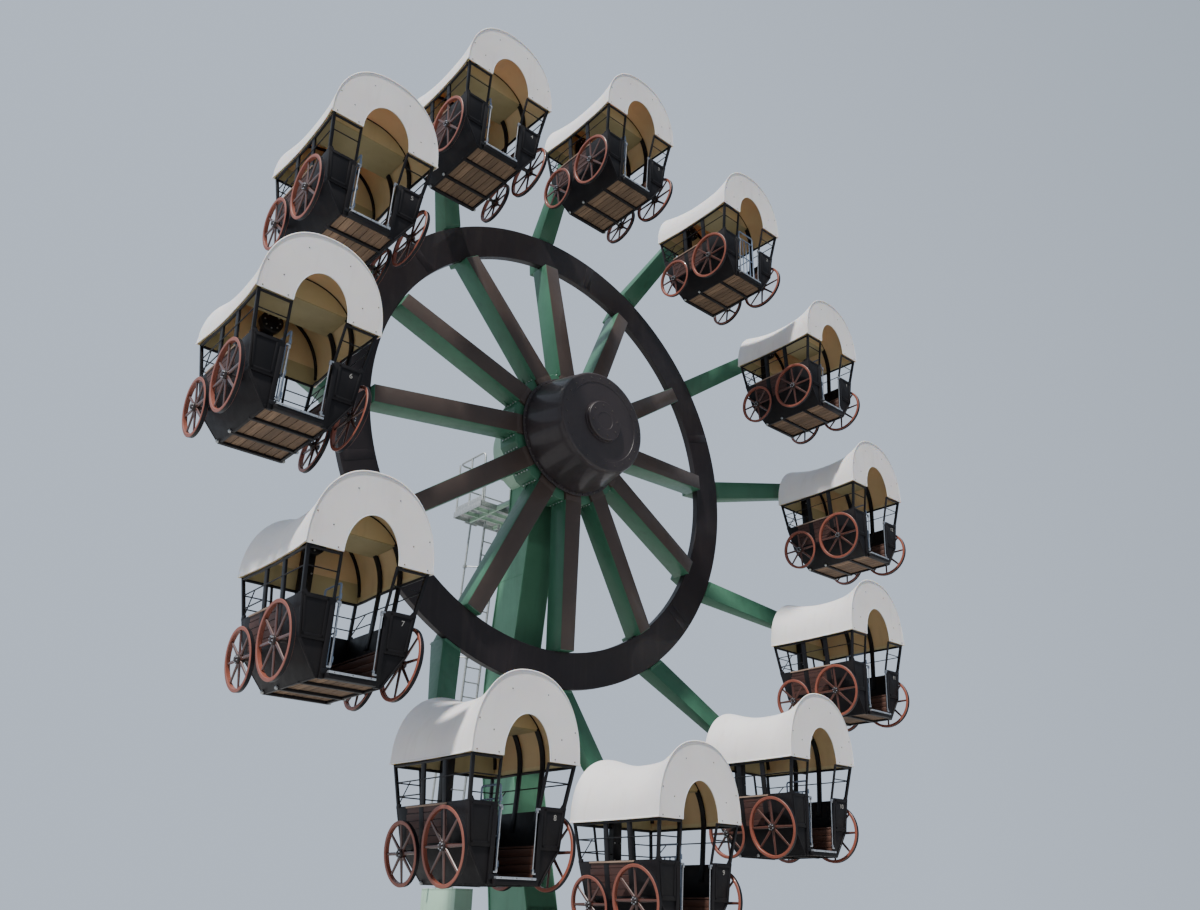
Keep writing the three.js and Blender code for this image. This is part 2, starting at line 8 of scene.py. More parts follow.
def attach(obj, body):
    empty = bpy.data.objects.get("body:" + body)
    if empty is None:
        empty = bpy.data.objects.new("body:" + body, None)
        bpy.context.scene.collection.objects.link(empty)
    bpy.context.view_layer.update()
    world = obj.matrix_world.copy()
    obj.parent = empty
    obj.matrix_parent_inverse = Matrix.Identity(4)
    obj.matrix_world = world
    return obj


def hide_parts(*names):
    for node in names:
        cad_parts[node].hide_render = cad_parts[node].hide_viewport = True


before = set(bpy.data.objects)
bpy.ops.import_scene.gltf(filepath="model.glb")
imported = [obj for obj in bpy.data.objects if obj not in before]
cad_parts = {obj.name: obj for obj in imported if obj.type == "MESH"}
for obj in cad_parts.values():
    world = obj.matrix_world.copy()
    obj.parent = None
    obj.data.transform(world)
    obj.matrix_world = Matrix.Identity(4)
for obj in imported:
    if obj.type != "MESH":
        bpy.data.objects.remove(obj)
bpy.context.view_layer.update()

# Sizes in metres. The wagon's are measured from its pivot, with -Y to the front.
WAGONS = 12
PIVOT_CIRCLE = 6.4
REST_TURN = 5.64
AXIS_Z = 9.8
WAGON_PLANE = -0.856
EAVES = -0.66
FRONT = -2.214
LENGTH = 1.97
REAR = FRONT + LENGTH
HALF = 0.886
SHELL = 0.012
ARCH_HALF = 0.384
ARCH_HEIGHT = 0.575
# height, half width, front and rear of the box at the top of its walls, at their foot and under the floor
BOX_TOP = (EAVES - 0.55, 0.780, FRONT + 0.130, REAR - 0.100)
BOX_MIDDLE = (EAVES - 1.08, 0.715, FRONT + 0.160, REAR - 0.215)
BOX_FLOOR = (EAVES - 1.505, 0.440, FRONT + 0.185, REAR - 0.360)
SEAT_TOP = EAVES - 1.02
FLOOR_TOP = EAVES - 1.44
WELL = 0.39
DOORWAY = 0.33
EAVES_HALF = 0.826
EAVES_FRONT = FRONT + 0.047
EAVES_REAR = REAR - 0.045
# middle, radius and outward lean in degrees
FRONT_WHEEL = (0.846, FRONT + 0.502, EAVES - 1.085, 0.482, 5.5)
REAR_WHEEL = (0.841, FRONT + 1.507, EAVES - 1.146, 0.405, 7.5)
BOW_SHARES = (0.36, 0.625)
CEILING = (0.352, 0.675)
CEILING_FOOT = 0.505
CEILING_TOP = 0.520
GATE_HINGE = (-0.26, FRONT + 0.184)
GATE_WIDTH = 0.45
GATE_TOP = EAVES - 0.31
GATE_BOTTOM = FLOOR_TOP + 0.06
CLOSED_GATES = (2,)
POST_FOOT = 0.755
JAMB_TOP = 0.389

# Steps of the curved pieces
ARCH_STEPS = 44
CANOPY_ROWS = 28
CEILING_STEPS = 8


# Node trees
class Nodes:
    """A node tree that is filled step by step."""

    def __init__(self, tree):
        self.tree = tree

    def feed(self, socket, value):
        if isinstance(value, bpy.types.NodeSocket):
            self.tree.links.new(value, socket)
        else:
            socket.default_value = value

    def node(self, kind, given=None, **settings):
        made = self.tree.nodes.new(kind)
        for label, value in settings.items():
            setattr(made, label, value)
        for label, value in (given or {}).items():
            self.feed(next(s for s in made.inputs if s.name == label and s.enabled), value)
        return made

    def times(self, first, second):
        made = self.node("ShaderNodeMath", operation="MULTIPLY")
        self.feed(made.inputs[0], first)
        self.feed(made.inputs[1], second)
        return made.outputs[0]


# Finishes
class Finish(Nodes):
    """A painted, wooden or metal surface, with its patterns on the piece's own coordinates."""

    def __init__(self, name, rough=0.5, metal=0.0, coat=0.0):
        self.material = bpy.data.materials.new(name)
        self.material.use_nodes = True
        super().__init__(self.material.node_tree)
        self.shader = self.tree.nodes["Principled BSDF"]
        self.shader.inputs["Roughness"].default_value = rough
        self.shader.inputs["Metallic"].default_value = metal
        self.shader.inputs["Coat Weight"].default_value = coat
        self.place = self.tree.nodes.new("ShaderNodeTexCoord").outputs["Object"]

    def noise(self, size, stretch=(1, 1, 1), detail=4.0, harsh=0.55):
        placed = self.node("ShaderNodeMapping", {"Vector": self.place, "Scale": stretch})
        given = {"Vector": placed.outputs[0], "Scale": size, "Detail": detail, "Roughness": harsh}
        return self.node("ShaderNodeTexNoise", given).outputs["Fac"]

    def ramp(self, amount, tones):
        made = self.node("ShaderNodeValToRGB", {"Fac": amount})
        stops = made.color_ramp.elements
        while len(stops) < len(tones):
            stops.new(0.5)
        for stop, (at, colour) in zip(stops, tones):
            stop.position = at
            stop.color = (*colour, 1.0)
        return made.outputs["Color"]

    def mask(self, amount, low, high):
        given = {"Value": amount, "From Min": low, "From Max": high}
        return self.node("ShaderNodeMapRange", given).outputs["Result"]

    def blend(self, share, under, over):
        made = self.node("ShaderNodeMix", data_type="RGBA")
        colours = [socket for socket in made.inputs if socket.type == "RGBA"]
        self.tree.links.new(share, made.inputs["Factor"])
        for socket, value in zip(colours, (under, over)):
            self.feed(socket, value if isinstance(value, bpy.types.NodeSocket) else (*value, 1.0))
        return next(socket for socket in made.outputs if socket.type == "RGBA")

    def colour(self, socket):
        self.tree.links.new(socket, self.shader.inputs["Base Color"])

    def gloss(self, amount, low, high):
        given = {"Value": amount, "To Min": low, "To Max": high}
        made = self.node("ShaderNodeMapRange", given)
        self.tree.links.new(made.outputs["Result"], self.shader.inputs["Roughness"])

    def relief(self, amount, strength, depth):
        given = {"Height": amount, "Strength": strength, "Distance": depth}
        made = self.node("ShaderNodeBump", given)
        self.tree.links.new(made.outputs["Normal"], self.shader.inputs["Normal"])


def paint(name, light, dark, dirt, rough=0.42, coat=0.12, rain=0.35, shine=0.45):
    """Brushed gloss paint with clouded tone, rain streaks and chips."""
    made = Finish(name, rough, 0.0, coat)
    made.shader.inputs["Specular IOR Level"].default_value = shine
    cloud = made.noise(1.4, detail=6.0)
    tone = made.ramp(cloud, [(0.3, dark), (0.7, light)])
    streaks = made.mask(made.noise(7.0, (1, 1, 0.09), 5.0), 0.52, 0.78)
    worn = made.blend(made.times(streaks, rain), tone, dirt)
    chips = made.mask(made.noise(38.0, detail=3.0), 0.70, 0.74)
    made.colour(made.blend(made.times(chips, 0.5), worn, dirt))
    made.gloss(made.noise(9.0), rough - 0.1, rough + 0.18)
    made.relief(made.noise(60.0, detail=2.0), 0.12, 0.002)
    return made.material


def metal(name, light, dark, rough, bright=1.0):
    """Bare or zinc-coated metal with a mottled bloom."""
    made = Finish(name, rough, bright)
    bloom = made.noise(30.0, detail=5.0)
    made.colour(made.ramp(bloom, [(0.35, dark), (0.65, light)]))
    made.gloss(made.noise(18.0), rough - 0.08, rough + 0.16)
    made.relief(bloom, 0.08, 0.001)
    return made.material


def timber(name, light, dark, stretch, rough, boards=0.5):
    """Boards with grain along their length, each with its own tone."""
    made = Finish(name, rough)
    grain = made.noise(5.0, stretch, 7.0, 0.6)
    tone = made.ramp(grain, [(0.32, dark), (0.68, light)])
    own = made.node("ShaderNodeAttribute", attribute_name="board").outputs["Fac"]
    shade = tuple(channel * 0.45 for channel in dark)
    varied = made.blend(made.times(own, boards), tone, shade)
    cracks = made.mask(made.noise(14.0, stretch, 4.0), 0.66, 0.72)
    made.colour(made.blend(made.times(cracks, 0.7), varied, shade))
    made.gloss(grain, rough - 0.12, rough + 0.15)
    made.relief(grain, 0.5, 0.004)
    return made.material


def moulded(name, light, dark, dirt, rough, grime, glow=0.0):
    """Glass-fibre moulding: even gel coat, faint waviness, grime running down."""
    made = Finish(name, rough, 0.0, 0.1)
    made.shader.inputs["Subsurface Weight"].default_value = glow
    made.shader.inputs["Subsurface Scale"].default_value = 0.02
    made.shader.inputs["Subsurface Radius"].default_value = (1.0, 0.75, 0.5)
    tone = made.ramp(made.noise(1.1, detail=4.0), [(0.35, dark), (0.65, light)])
    runs = made.mask(made.noise(6.0, (1, 1, 0.12), 5.0), 0.55, 0.85)
    spots = made.mask(made.noise(24.0, detail=4.0), 0.68, 0.80)
    stained = made.blend(made.times(runs, grime), tone, dirt)
    made.colour(made.blend(made.times(spots, grime), stained, dirt))
    made.gloss(made.noise(12.0), rough - 0.08, rough + 0.12)
    made.relief(made.noise(2.6, detail=2.0), 0.25, 0.02)
    return made.material


TOWER_GREEN = paint("tower_green_paint", (0.120, 0.300, 0.190), (0.095, 0.250, 0.155), (0.05, 0.11, 0.07),
                    shine=0.35)
# A darker copy of the tower green for the wheel: painted shade, as the spokes' sides lie mostly out of the
# light.
SHADED_SPOKE_GREEN = paint("spoke_green_paint", (0.048, 0.150, 0.092), (0.036, 0.118, 0.072), (0.03, 0.06, 0.04),
                    shine=0.3)
# A lighter copy of the tower green: painted sunlight on the bearing head, the ladder plinth and the
# platform's cross beams.
SUNLIT_GREEN = paint("faded_green_paint", (0.36, 0.53, 0.41), (0.30, 0.46, 0.35), (0.14, 0.20, 0.14))
DARK_BROWN = paint("brown_black_paint", (0.018, 0.013, 0.015), (0.012, 0.009, 0.011), (0.040, 0.032, 0.029),
                   shine=0.3)
SPOKE_BROWN = paint("spoke_brown_paint", (0.062, 0.043, 0.036), (0.046, 0.032, 0.028), (0.04, 0.038, 0.034),
                    shine=0.4)
BARREL_GLOSS = paint("hub_gloss_paint", (0.030, 0.021, 0.023), (0.020, 0.015, 0.018), (0.06, 0.05, 0.045),
                     0.44, 0.25, 0.15)
FRAME_BLACK = paint("frame_black_paint", (0.008, 0.008, 0.011), (0.005, 0.005, 0.007),
                    (0.022, 0.020, 0.018), 0.42, 0.05, shine=0.25)
BOX_BLACK = paint("box_dark_paint", (0.008, 0.007, 0.009), (0.005, 0.0045, 0.006),
                  (0.022, 0.015, 0.013), 0.5, 0.03, shine=0.25)
TYRE_RED = paint("tyre_terracotta_paint", (0.26, 0.075, 0.048), (0.19, 0.055, 0.036), (0.10, 0.045, 0.035),
                 0.45)
SPOKE_RED = paint("spoke_red_brown_paint", (0.085, 0.030, 0.022), (0.055, 0.020, 0.015),
                  (0.04, 0.025, 0.02), 0.3, 0.4)
WHEEL_HUB = paint("wheel_hub_paint", (0.030, 0.020, 0.020), (0.018, 0.013, 0.014), (0.05, 0.035, 0.03),
                  0.4, 0.1)
GATE_BLUE = paint("gate_blue_grey_paint", (0.20, 0.26, 0.36), (0.15, 0.20, 0.29), (0.10, 0.10, 0.11), 0.35)
PALE_MARK = paint("pale_number_paint", (0.40, 0.39, 0.37), (0.32, 0.31, 0.29), (0.2, 0.18, 0.16), 0.6)
SIDE_BOARDS = timber("side_board_stain", (0.090, 0.034, 0.026), (0.048, 0.019, 0.016), (3.0, 0.35, 6.0), 0.6)
RAIL_WOOD = timber("rail_bare_wood", (0.42, 0.30, 0.23), (0.28, 0.19, 0.14), (9.0, 0.5, 9.0), 0.7)
FLOOR_BOARDS = timber("weathered_floor_boards", (0.36, 0.235, 0.145), (0.15, 0.095, 0.06), (9.0, 0.5, 9.0),
                      0.8, 0.75)
SEAT_BOARDS = timber("seat_board_varnish", (0.11, 0.05, 0.035), (0.06, 0.028, 0.02), (9.0, 0.5, 9.0), 0.5)
ZINC = metal("zinc_coating", (0.52, 0.54, 0.54), (0.36, 0.38, 0.39), 0.48, 0.75)
STAINLESS = metal("stainless_rod", (0.58, 0.60, 0.63), (0.46, 0.48, 0.51), 0.28)
BRIGHT_STEEL = metal("bright_plated_steel", (0.62, 0.66, 0.72), (0.50, 0.54, 0.60), 0.34, 0.8)
DARK_BOLT = metal("dark_bolt_head", (0.12, 0.11, 0.10), (0.06, 0.055, 0.05), 0.5, 0.6)
CANOPY_WHITE = moulded("canopy_gel_coat", (0.82, 0.79, 0.79), (0.77, 0.735, 0.74), (0.45, 0.39, 0.36),
                       0.5, 0.28, 0.8)
LINING_TAN = moulded("canopy_lining", (0.68, 0.55, 0.32), (0.60, 0.48, 0.27), (0.36, 0.26, 0.15),
                     0.6, 0.30, 0.5)
LINING_PALE = moulded("canopy_lining_pale_edge", (0.74, 0.64, 0.38), (0.64, 0.54, 0.32), (0.34, 0.28, 0.17),
                      0.6, 0.35)
# The khaki copy of the lining is painted shade on the rear sheet's low band; the waist ceiling uses it too.
LINING_KHAKI = moulded("canopy_lining_khaki_band", (0.46, 0.39, 0.21), (0.38, 0.32, 0.17),
                       (0.24, 0.19, 0.11), 0.6, 0.35)


# Shapes
def subtract(a, b):
    return tuple(p - q for p, q in zip(a, b))


def oblong(a0, a1, b0, b1):
    return [(a0, b0), (a1, b0), (a1, b1), (a0, b1)]


def span(side, a, b):
    """Both distances on that side of the middle, the lower first."""
    return sorted((side * a, side * b))


class Work:
    """The parts of one piece, gathered before they become a mesh."""

    def __init__(self, *finishes):
        self.finishes = finishes
        self.corners = []
        self.faces = []
        self.looks = []

    def add(self, corners, faces, look=0):
        first = len(self.corners)
        self.corners += [tuple(corner) for corner in corners]
        self.faces += [tuple(first + i for i in face) for face in faces]
        self.looks += [look] * len(faces)

    def loft(self, rings, look=0, closed=False):
        """A skin over rings of the same number of corners."""
        size = len(rings[0])
        corners = [corner for ring in rings for corner in ring]
        faces = []
        for n in range(len(rings) if closed else len(rings) - 1):
            here, there = n * size, ((n + 1) % len(rings)) * size
            for i in range(size):
                j = (i + 1) % size
                faces.append((here + i, here + j, there + j, there + i))
        if not closed:
            last = (len(rings) - 1) * size
            faces += [tuple(range(size))[::-1], tuple(last + i for i in range(size))]
        self.add(corners, faces, look)

    def block(self, x0, x1, y0, y1, z0, z1, look=0):
        self.loft([[(x, y, z) for x, y in oblong(x0, x1, y0, y1)] for z in (z0, z1)], look)

    def prism_y(self, outline, y0, y1, look=0):
        self.loft([[(x, y, z) for x, z in outline] for y in (y0, y1)], look)

    def prism_x(self, outline, x0, x1):
        self.loft([[(x, y, z) for y, z in outline] for x in (x0, x1)])

    def lathe_y(self, profile, steps, look=0, x=0.0):
        """A turned shape about a line along Y from (y, radius) pairs, capped at both ends."""
        self.loft([ring_y(y, radius, steps, x) for y, radius in profile], look)

    def lathe_x(self, profile, centre, steps):
        cy, cz = centre
        rings = []
        for x, radius in profile:
            rings.append([(x, cy + radius * math.cos(a), cz + radius * math.sin(a)) for a in circle(steps)])
        self.loft(rings)

    def pin_z(self, x, y, radius, z0, z1):
        """A short upright round bar."""
        ring = [(x + radius * math.cos(a), y + radius * math.sin(a)) for a in circle(12)]
        self.loft([[(px, py, z) for px, py in ring] for z in (z0, z1)])

    def ribbon_y(self, path, y, width, thick, look=0):
        """A flat bar of that width along Y, bent along (x, z) points."""
        rings = []
        for i, (x, z) in enumerate(path):
            ahead, behind = path[min(i + 1, len(path) - 1)], path[max(i - 1, 0)]
            dx, dz = subtract(ahead, behind)
            size = math.hypot(dx, dz)
            nx, nz = -dz / size * thick / 2, dx / size * thick / 2
            rings.append([(x + nx, y - width / 2, z + nz), (x + nx, y + width / 2, z + nz),
                          (x - nx, y + width / 2, z - nz), (x - nx, y - width / 2, z - nz)])
        self.loft(rings, look)

    def hexahedron(self, low, high, look=0):
        self.loft([low, high], look)

    def slab(self, outline, push):
        """A plate from a flat outline of points and the way it is thick."""
        self.loft([outline, [tuple(p + q for p, q in zip(corner, push)) for corner in outline]])

    def mesh(self, name, bevel=0.0, angle=35.0, weld=0.0):
        made = bpy.data.meshes.new(name)
        made.from_pydata(self.corners, [], self.faces)
        for finish in self.finishes:
            made.materials.append(finish)
        made.polygons.foreach_set("material_index", self.looks)
        turn_out(made, weld)
        if bevel:
            made = rounded(made, bevel)
        return smooth(made, angle)


def circle(steps, start=0.0):
    return [start + 2 * math.pi * i / steps for i in range(steps)]


def ring_y(y, radius, steps, x):
    return [(x + radius * math.cos(a), y, radius * math.sin(a)) for a in circle(steps)]


def bolt_circle(count, radius, y, way, start=0.0, x=0.0):
    """(place, facing) pairs round a line along Y, all facing one way along it."""
    return [((x + radius * math.cos(a), y, radius * math.sin(a)), (0, way, 0)) for a in circle(count, start)]


def turn_out(mesh, weld=0.0):
    """Points the faces of closed shells outwards, once corners within the weld's reach are one."""
    work = bmesh.new()
    work.from_mesh(mesh)
    if weld:
        bmesh.ops.remove_doubles(work, verts=work.verts, dist=weld)
    bmesh.ops.recalc_face_normals(work, faces=work.faces)
    work.to_mesh(mesh)
    work.free()
    return mesh


def smooth(mesh, angle=35.0):
    mesh.polygons.foreach_set("use_smooth", [True] * len(mesh.polygons))
    mesh.set_sharp_from_angle(angle=math.radians(angle))
    return mesh


def baked(holder):
    """The holder's mesh as its modifiers leave it."""
    bpy.context.view_layer.update()
    view = bpy.context.evaluated_depsgraph_get()
    mesh = bpy.data.meshes.new_from_object(holder.evaluated_get(view), depsgraph=view)
    holder.modifiers.clear()
    old = holder.data
    bpy.data.objects.remove(holder)
    bpy.data.meshes.remove(old)
    return mesh


def put(name, data):
    """A new object in the scene."""
    made = bpy.data.objects.new(name, data)
    bpy.context.scene.collection.objects.link(made)
    return made


def rounded(mesh, width, steps=2):
    """The mesh with its hard edges broken."""
    holder = put("shaping", mesh)
    bevel = holder.modifiers.new("edges", "BEVEL")
    bevel.width = width
    bevel.segments = steps
    bevel.limit_method = "ANGLE"
    bevel.angle_limit = math.radians(40)
    return baked(holder)


def joined(name, meshes):
    """Several meshes as one, each face keeping its finish."""
    made = bpy.data.meshes.new(name)
    work = bmesh.new()
    finishes = []
    for mesh in meshes:
        shift = {}
        for i, finish in enumerate(mesh.materials):
            if finish not in finishes:
                finishes.append(finish)
            shift[i] = finishes.index(finish)
        before = len(work.faces)
        work.from_mesh(mesh)
        work.faces.ensure_lookup_table()
        for face in work.faces[before:]:
            face.material_index = shift.get(face.material_index, 0)
    work.to_mesh(made)
    work.free()
    for finish in finishes:
        made.materials.append(finish)
    for mesh in meshes:
        bpy.data.meshes.remove(mesh)
    return made


def place(name, mesh, body, *nodes, slot=None):
    """A finished piece on its body, standing for the solids named after it."""
    mesh.name = name
    piece = put(name, mesh)
    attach(piece, body)
    if nodes:
        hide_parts(*nodes)


# Recipes for what repeats or follows a path
class Recipe(Nodes):
    """A geometry node tree with named inputs, which ends in realised instances and a finish."""

    def __init__(self, name, **sizes):
        super().__init__(bpy.data.node_groups.new(name, "GeometryNodeTree"))
        sockets = self.tree.interface
        sockets.new_socket(name="Geometry", in_out="INPUT", socket_type="NodeSocketGeometry")
        for label, kind in sizes.items():
            sockets.new_socket(name=label.replace("_", " "), in_out="INPUT", socket_type="NodeSocket" + kind)
        sockets.new_socket(name="Finish", in_out="INPUT", socket_type="NodeSocketMaterial")
        sockets.new_socket(name="Geometry", in_out="OUTPUT", socket_type="NodeSocketGeometry")
        self.given = self.tree.nodes.new("NodeGroupInput")
        self.out = self.tree.nodes.new("NodeGroupOutput")

    def size(self, label):
        return self.given.outputs[label]

    def end(self, geometry, soft=True):
        real = self.node("GeometryNodeRealizeInstances", {"Geometry": geometry})
        shaded = self.node("GeometryNodeSetShadeSmooth", {"Geometry": real.outputs[0], "Shade Smooth": soft})
        given = {"Geometry": shaded.outputs[0], "Material": self.size("Finish")}
        dressed = self.node("GeometryNodeSetMaterial", given)
        self.tree.links.new(dressed.outputs[0], self.out.inputs[0])

    def make(self, finish, mesh=None, **sizes):
        holder = put("shaping", mesh or bpy.data.meshes.new("start"))
        step = holder.modifiers.new("recipe", "NODES")
        step.node_group = self.tree
        items = self.tree.interface.items_tree
        names = {item.name: item.identifier for item in items if item.in_out == "INPUT"}
        for label, value in sizes.items():
            step[names[label.replace("_", " ")]] = value
        step[names["Finish"]] = finish
        made = baked(holder)
        if finish not in list(made.materials):
            made.materials.append(finish)
        return smooth(turn_out(made))


def studs_recipe():
    made = Recipe("heads_on_points", Head_radius="Float", Head_height="Float", Sides="Int", Crown="Float")
    top = made.times(made.size("Head radius"), made.size("Crown"))
    head = made.node("GeometryNodeMeshCone", {
        "Vertices": made.size("Sides"), "Radius Top": top,
        "Radius Bottom": made.size("Head radius"), "Depth": made.size("Head height")})
    facing = made.node("GeometryNodeInputNamedAttribute", {"Name": "facing"}, data_type="FLOAT_VECTOR")
    aim = made.node("FunctionNodeAlignRotationToVector", {"Vector": facing.outputs["Attribute"]}, axis="Z")
    spread = made.node("GeometryNodeInstanceOnPoints", {
        "Points": made.size("Geometry"), "Instance": head.outputs["Mesh"], "Rotation": aim.outputs[0]})
    made.end(spread.outputs[0], False)
    return made


def row_recipe():
    made = Recipe("bars_in_a_row", Count="Int", Start="Vector", Step="Vector", Size="Vector",
                  Unevenness="Float", Seed="Int")
    line = made.node("GeometryNodeMeshLine", {
        "Count": made.size("Count"), "Start Location": made.size("Start"), "Offset": made.size("Step")})
    bar = made.node("GeometryNodeMeshCube", {"Size": made.size("Size")})
    spread = made.node("GeometryNodeInstanceOnPoints", {
        "Points": line.outputs["Mesh"], "Instance": bar.outputs["Mesh"]})
    chance = made.node("FunctionNodeRandomValue", {"Seed": made.size("Seed")}, data_type="FLOAT")
    value = next(socket for socket in chance.outputs if socket.enabled)
    marked = made.node("GeometryNodeStoreNamedAttribute", {
        "Geometry": spread.outputs[0], "Name": "board", "Value": value}, data_type="FLOAT", domain="INSTANCE")
    rise = made.node("ShaderNodeCombineXYZ", {"Z": made.times(value, made.size("Unevenness"))})
    moved = made.node("GeometryNodeTranslateInstances", {
        "Instances": marked.outputs[0], "Translation": rise.outputs[0]})
    made.end(moved.outputs[0], False)
    return made


def tube_recipe():
    made = Recipe("tube_along_path", Tube_radius="Float", Bend_radius="Float", Sides="Int")
    path = made.node("GeometryNodeMeshToCurve", {"Mesh": made.size("Geometry")})
    bent = made.node("GeometryNodeFilletCurve", {
        "Curve": path.outputs[0], "Count": 5, "Radius": made.size("Bend radius"), "Limit Radius": True},
        mode="POLY")
    section = made.node("GeometryNodeCurvePrimitiveCircle", {
        "Resolution": made.size("Sides"), "Radius": made.size("Tube radius")})
    skin = made.node("GeometryNodeCurveToMesh", {
        "Curve": bent.outputs[0], "Profile Curve": section.outputs[0], "Fill Caps": True})
    made.end(skin.outputs[0])
    return made


def spokes_recipe():
    made = Recipe("spokes_round_a_hub", Count="Int", Hub_radius="Float", Length="Float",
                  Thick_end="Float", Thin_end="Float")
    spots = made.node("GeometryNodeMeshCircle", {
        "Vertices": made.size("Count"), "Radius": made.size("Hub radius")})
    bar = made.node("GeometryNodeMeshCone", {
        "Vertices": 8, "Radius Top": made.size("Thin end"), "Radius Bottom": made.size("Thick end"),
        "Depth": made.size("Length")})
    outward = made.node("GeometryNodeInputPosition")
    aim = made.node("FunctionNodeAlignRotationToVector", {"Vector": outward.outputs[0]}, axis="Z")
    spread = made.node("GeometryNodeInstanceOnPoints", {
        "Points": spots.outputs[0], "Instance": bar.outputs["Mesh"], "Rotation": aim.outputs[0]})
    made.end(spread.outputs[0])
    return made


STUDS = studs_recipe()
ROW = row_recipe()
TUBE = tube_recipe()
SPOKES = spokes_recipe()


def studs(points, finish, radius, height, sides=6, crown=0.8):
    """Heads at (place, facing) pairs."""
    mesh = bpy.data.meshes.new("points")
    mesh.from_pydata([spot for spot, _ in points], [], [])
    facing = mesh.attributes.new("facing", "FLOAT_VECTOR", "POINT")
    facing.data.foreach_set("vector", [value for _, way in points for value in way])
    return STUDS.make(finish, mesh, Head_radius=radius, Head_height=height, Sides=sides, Crown=crown)


def tube(paths, finish, radius, bend=0.0, sides=10, closed=False):
    """Round bars along polylines, their corners bent."""
    corners, edges = [], []
    for path in paths:
        first = len(corners)
        corners += path
        edges += [(first + i, first + i + 1) for i in range(len(path) - 1)]
        if closed:
            edges.append((first + len(path) - 1, first))
    mesh = bpy.data.meshes.new("path")
    mesh.from_pydata(corners, edges, [])
    return TUBE.make(finish, mesh, Tube_radius=radius, Bend_radius=bend, Sides=sides)


def row(finish, count, start, step, size, uneven=0.0, seed=1):
    return ROW.make(finish, Count=count, Start=start, Step=step, Size=size, Unevenness=uneven, Seed=seed)


# Canopy of a wagon
HEIGHTS = ((0.0, 1.150, -1.45), (0.227, 0.915, -0.42), (0.552, 0.868, 0.02), (0.715, 0.896, 0.30),
           (1.0, 1.035, 0.60))
WIDTHS = ((0.0, 1.0, -0.30), (0.24, 0.955, -0.06), (0.60, 0.945, 0.04), (1.0, 1.0, 0.20))
ROUNDNESS = 2 / 2.25


def along(table, share):
    """A smooth curve through (share, value, slope) rows."""
    for (s0, v0, m0), (s1, v1, m1) in zip(table, table[1:]):
        if share <= s1:
            break
    size = s1 - s0
    t = (share - s0) / size
    return (v0 * (1 + 2 * t) * (1 - t) ** 2 + m0 * size * t * (1 - t) ** 2
            + v1 * t * t * (3 - 2 * t) + m1 * size * t * t * (t - 1))


def hoop(share, angle, inset=0.0):
    half = HALF * along(WIDTHS, share) - inset
    height = along(HEIGHTS, share) - inset
    across, up = math.cos(angle), max(math.sin(angle), 0.0)
    return math.copysign(half * abs(across) ** ROUNDNESS, across), EAVES + height * up ** ROUNDNESS


def canopy_shell():
    shares = [0.0, 0.008, 0.022] + [i / CANOPY_ROWS for i in range(2, CANOPY_ROWS + 1)]
    corners = []
    for share in shares:
        y = FRONT + share * LENGTH
        edge = HALF * along(WIDTHS, share)
        line = [(edge + 0.010, EAVES), (edge + 0.010, EAVES + 0.016), (edge + 0.001, EAVES + 0.024)]
        line += [hoop(share, math.pi * i / ARCH_STEPS) for i in range(2, ARCH_STEPS - 1)]
        line += [(-x, z) for x, z in line[:3]][::-1]
        corners.append([(x, y, z) for x, z in line])
    size = len(corners[0])
    rows = len(shares) - 1
    faces = [(r * size + i, r * size + i + 1, (r + 1) * size + i + 1, (r + 1) * size + i)
             for r in range(rows) for i in range(size - 1)]
    mesh = bpy.data.meshes.new("shell")
    mesh.from_pydata([corner for line in corners for corner in line], [], faces)
    for finish in (CANOPY_WHITE, LINING_TAN, CANOPY_WHITE):
        mesh.materials.append(finish)
    if mesh.polygons[(rows // 2) * (size - 1) + size // 2].normal.z < 0:
        mesh.flip_normals()
    holder = put("shaping", mesh)
    wall = holder.modifiers.new("wall", "SOLIDIFY")
    wall.thickness = SHELL
    wall.offset = -1
    wall.material_offset = 1
    wall.material_offset_rim = 2
    made = baked(holder)
    for face in made.polygons:
        if face.material_index == 1 and face.center.y < FRONT + 0.015:
            face.material_index = 0
    return smooth(made, 40)


def canopy_sheet(share, y0, y1, inner, outside):
    """The flat end of the canopy between its hoop and the inner line of (x, z) points."""
    steps = len(inner) - 1
    made = Work(CANOPY_WHITE, LINING_TAN)
    outer = [hoop(share, math.pi * i / steps, SHELL - 0.002) for i in range(steps + 1)]
    strip = [(i, i + 1, steps + 2 + i, steps + 1 + i) for i in range(steps)]
    for y in (y0, y1):
        made.add([(x, y, z) for x, z in outer + inner], strip, 0 if y == outside else 1)
    for line in (outer, inner):
        made.add([(x, y, z) for y in (y0, y1) for x, z in line], strip)
    for i in (0, steps):
        (xa, za), (xb, zb) = outer[i], inner[i]
        made.add([(xa, y0, za), (xb, y0, zb), (xb, y1, zb), (xa, y1, za)], [(0, 1, 2, 3)])
    return made.mesh("sheet", angle=30, weld=1e-5)


def arch():
    """The doorway's arch in (x, z)."""
    turns = [math.pi * i / ARCH_STEPS for i in range(ARCH_STEPS + 1)]
    return [(ARCH_HALF * math.cos(a), EAVES + ARCH_HEIGHT * math.sin(a)) for a in turns]


def canopy():
    front = FRONT + 0.006
    rear = REAR - 0.004
    chord = [((HALF - 0.05) * (1 - 2 * i / ARCH_STEPS), EAVES) for i in range(ARCH_STEPS + 1)]
    pieces = [
        canopy_shell(),
        canopy_sheet(0.0, front, front + SHELL, arch(), front),
        canopy_sheet(1.0, rear - SHELL, rear, chord, rear),
        tube([[(x, front + 0.004, z) for x, z in arch()]], CANOPY_WHITE, 0.009, 0.0, 8),
    ]
    return joined("canopy", pieces)


